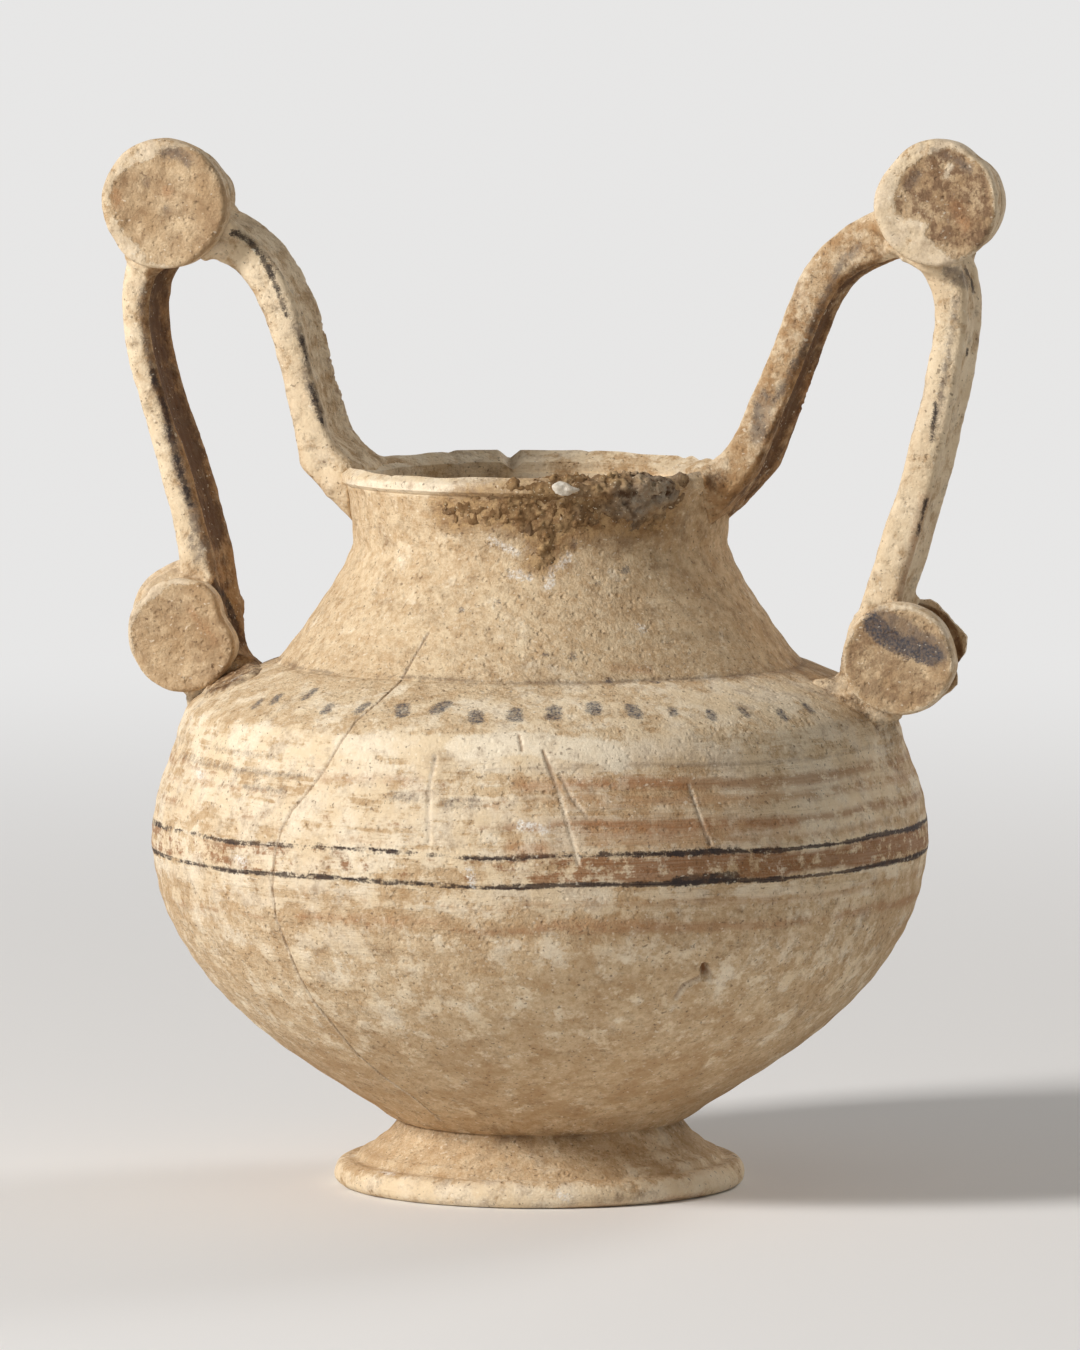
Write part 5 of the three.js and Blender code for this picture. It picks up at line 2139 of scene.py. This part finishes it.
@dataclass
class Studio:
    """A pale floor and soft lamps, with the strongest light from the upper left."""

    floor_radius: float = 40.0
    floor_color: Color = (0.84, 0.83, 0.82, 1.0)
    background: Color = (0.80, 0.795, 0.79, 1.0)
    fade_start: float = 250.0
    fade_end: float = 1500.0
    fill_light: Color = (1.0, 0.97, 0.92, 1.0)
    fill_strength: float = 0.16

    def build(self) -> None:
        """Builds the floor, the world, the lamps and the camera."""
        self.add_floor()
        self.add_world()
        self.add_lamp("key_lamp", (-1.5, -1.4, 1.3), 0.5, 56.0, (1.0, 0.98, 0.96))
        self.add_lamp("fill_lamp", (1.7, -1.4, 0.9), 1.2, 2.6, (1.0, 0.97, 0.94))
        self.add_lamp("back_lamp", (1.0, 1.6, 1.3), 0.7, 13.0, (1.0, 0.98, 0.96))
        VIEW.add_camera()

    def add_floor(self) -> None:
        """Adds the round floor, which fades to the plain background far from the jar."""
        bpy.ops.object.select_all(action="DESELECT")
        bpy.ops.mesh.primitive_circle_add(vertices=96, radius=self.floor_radius, fill_type="NGON")
        floor = bpy.context.active_object
        floor.name = floor.data.name = "studio_floor"
        material, graph, place = new_finish("floor_finish")
        inputs = {"Base Color": self.floor_color, "Roughness": 0.7, "Specular IOR Level": 0.2}
        near = graph.node("ShaderNodeBsdfPrincipled", inputs)
        far = graph.node("ShaderNodeEmission", {"Color": self.background, "Strength": 1.0})
        away = graph.node("ShaderNodeVectorMath", {0: place}, operation="LENGTH").outputs["Value"]
        path = graph.node("ShaderNodeLightPath").outputs
        seen = graph.math("MAXIMUM", path["Is Camera Ray"], path["Is Glossy Ray"])
        share = graph.times(graph.ramp(away, self.fade_start, self.fade_end), seen)
        both = graph.node("ShaderNodeMixShader", {0: share, 1: near.outputs[0], 2: far.outputs[0]})
        graph.node("ShaderNodeOutputMaterial", {"Surface": both.outputs[0]})
        floor.data.materials.append(material)

    def add_world(self) -> None:
        """Adds an even world that shows pale behind the jar."""
        world = bpy.data.worlds.new("studio_world")
        bpy.context.scene.world = world
        world.use_nodes = True
        graph = Graph(world.node_tree)
        world.node_tree.nodes.clear()
        path = graph.node("ShaderNodeLightPath").outputs
        seen = graph.math("MAXIMUM", path["Is Camera Ray"], path["Is Glossy Ray"])
        seen = graph.math("MAXIMUM", seen, path["Is Transmission Ray"])
        shown = graph.node("ShaderNodeBackground", {"Color": self.background, "Strength": 1.0})
        inputs = {"Color": self.fill_light, "Strength": self.fill_strength}
        light = graph.node("ShaderNodeBackground", inputs)
        inputs = {0: seen, 1: light.outputs[0], 2: shown.outputs[0]}
        both = graph.node("ShaderNodeMixShader", inputs)
        graph.node("ShaderNodeOutputWorld", {"Surface": both.outputs[0]})

    def add_lamp(self, name: str, place: tuple[float, float, float], size: float, watts: float,
                 color: tuple[float, float, float]) -> None:
        """Adds one square lamp that looks at the jar.

        Args:
            name: The lamp's name.
            place: Where it hangs, in metres.
            size: The side of its square, in metres.
            watts: Its power.
            color: Its colour.
        """
        data = bpy.data.lights.new(name, "AREA")
        data.size = size
        data.energy = watts
        data.color = color
        lamp = bpy.data.objects.new(name, data)
        bpy.context.scene.collection.objects.link(lamp)
        lamp.location = place
        aim = Vector(place) - Vector((0.0, 0.0, VIEW.aim_height / PER_METRE))
        lamp.rotation_euler = aim.to_track_quat("Z", "Y").to_euler()


def tree_of(pieces: Sequence[Piece]) -> BVHTree:
    """The faces of several pieces together, in millimetres.

    Args:
        pieces: The pieces.

    Returns:
        One tree of all their faces.
    """
    corners: list[Vector] = []
    faces: list[tuple[int, ...]] = []
    for piece in pieces:
        start = len(corners)
        corners += [vertex.co * PER_METRE for vertex in piece.data.vertices]
        faces += [tuple(start + i for i in face.vertices) for face in piece.data.polygons]
    return BVHTree.FromPolygons(corners, faces)


def main() -> None:
    """Builds the jar piece by piece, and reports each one."""
    logging.basicConfig(level=logging.INFO, format="%(relativeCreated)d ms: %(message)s")
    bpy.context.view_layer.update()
    bpy.context.scene.view_settings.view_transform = "Standard"
    Studio().build()
    effects = Effects()
    jar = ThrownJar(effects)
    jar.build()
    jar.wound()
    jar.chip_rim()
    jar.dress()
    nodes = frame["nodes"]
    jar_nodes = [nodes[name] for name in ("body", "neck", "rim")]
    crust = RimCrust(effects, tree_of(jar_nodes))
    crust.build()
    # The handles' soil colour is very dark and strong, so that it also paints the shade in their
    # loops and hollows.
    handle_finish = ClayFinish("handle_clay_finish", slip=tone(240, 221, 190), slip_size=5.0,
                               clay_pale=tone(218, 192, 156), soil=tone(74, 46, 24), grime_and_shade=0.86)
    for side in ("left", "right"):
        discs = [nodes[f"{side}_{level}_{face}_disc"]
                 for level in ("upper", "lower") for face in ("front", "rear")]
        handle = Handle(side, effects, handle_finish, tree_of(jar_nodes), tree_of(discs))
        handle.build()
        handle.dress()
    disc_finish = ClayFinish("disc_clay_finish", slip=tone(238, 220, 192), slip_size=4.5,
                             clay_pale=tone(218, 192, 156), wash=tone(132, 104, 78))
    for shape in DISCS:
        disc = Disc(shape, effects, disc_finish)
        disc.build()
        disc.dress()
    broken = BrokenDisc(DiscShape("right_lower_rear_disc", 8.8), effects, disc_finish)
    broken.build()
    broken.dress()


if __name__ == "__main__":
    main()
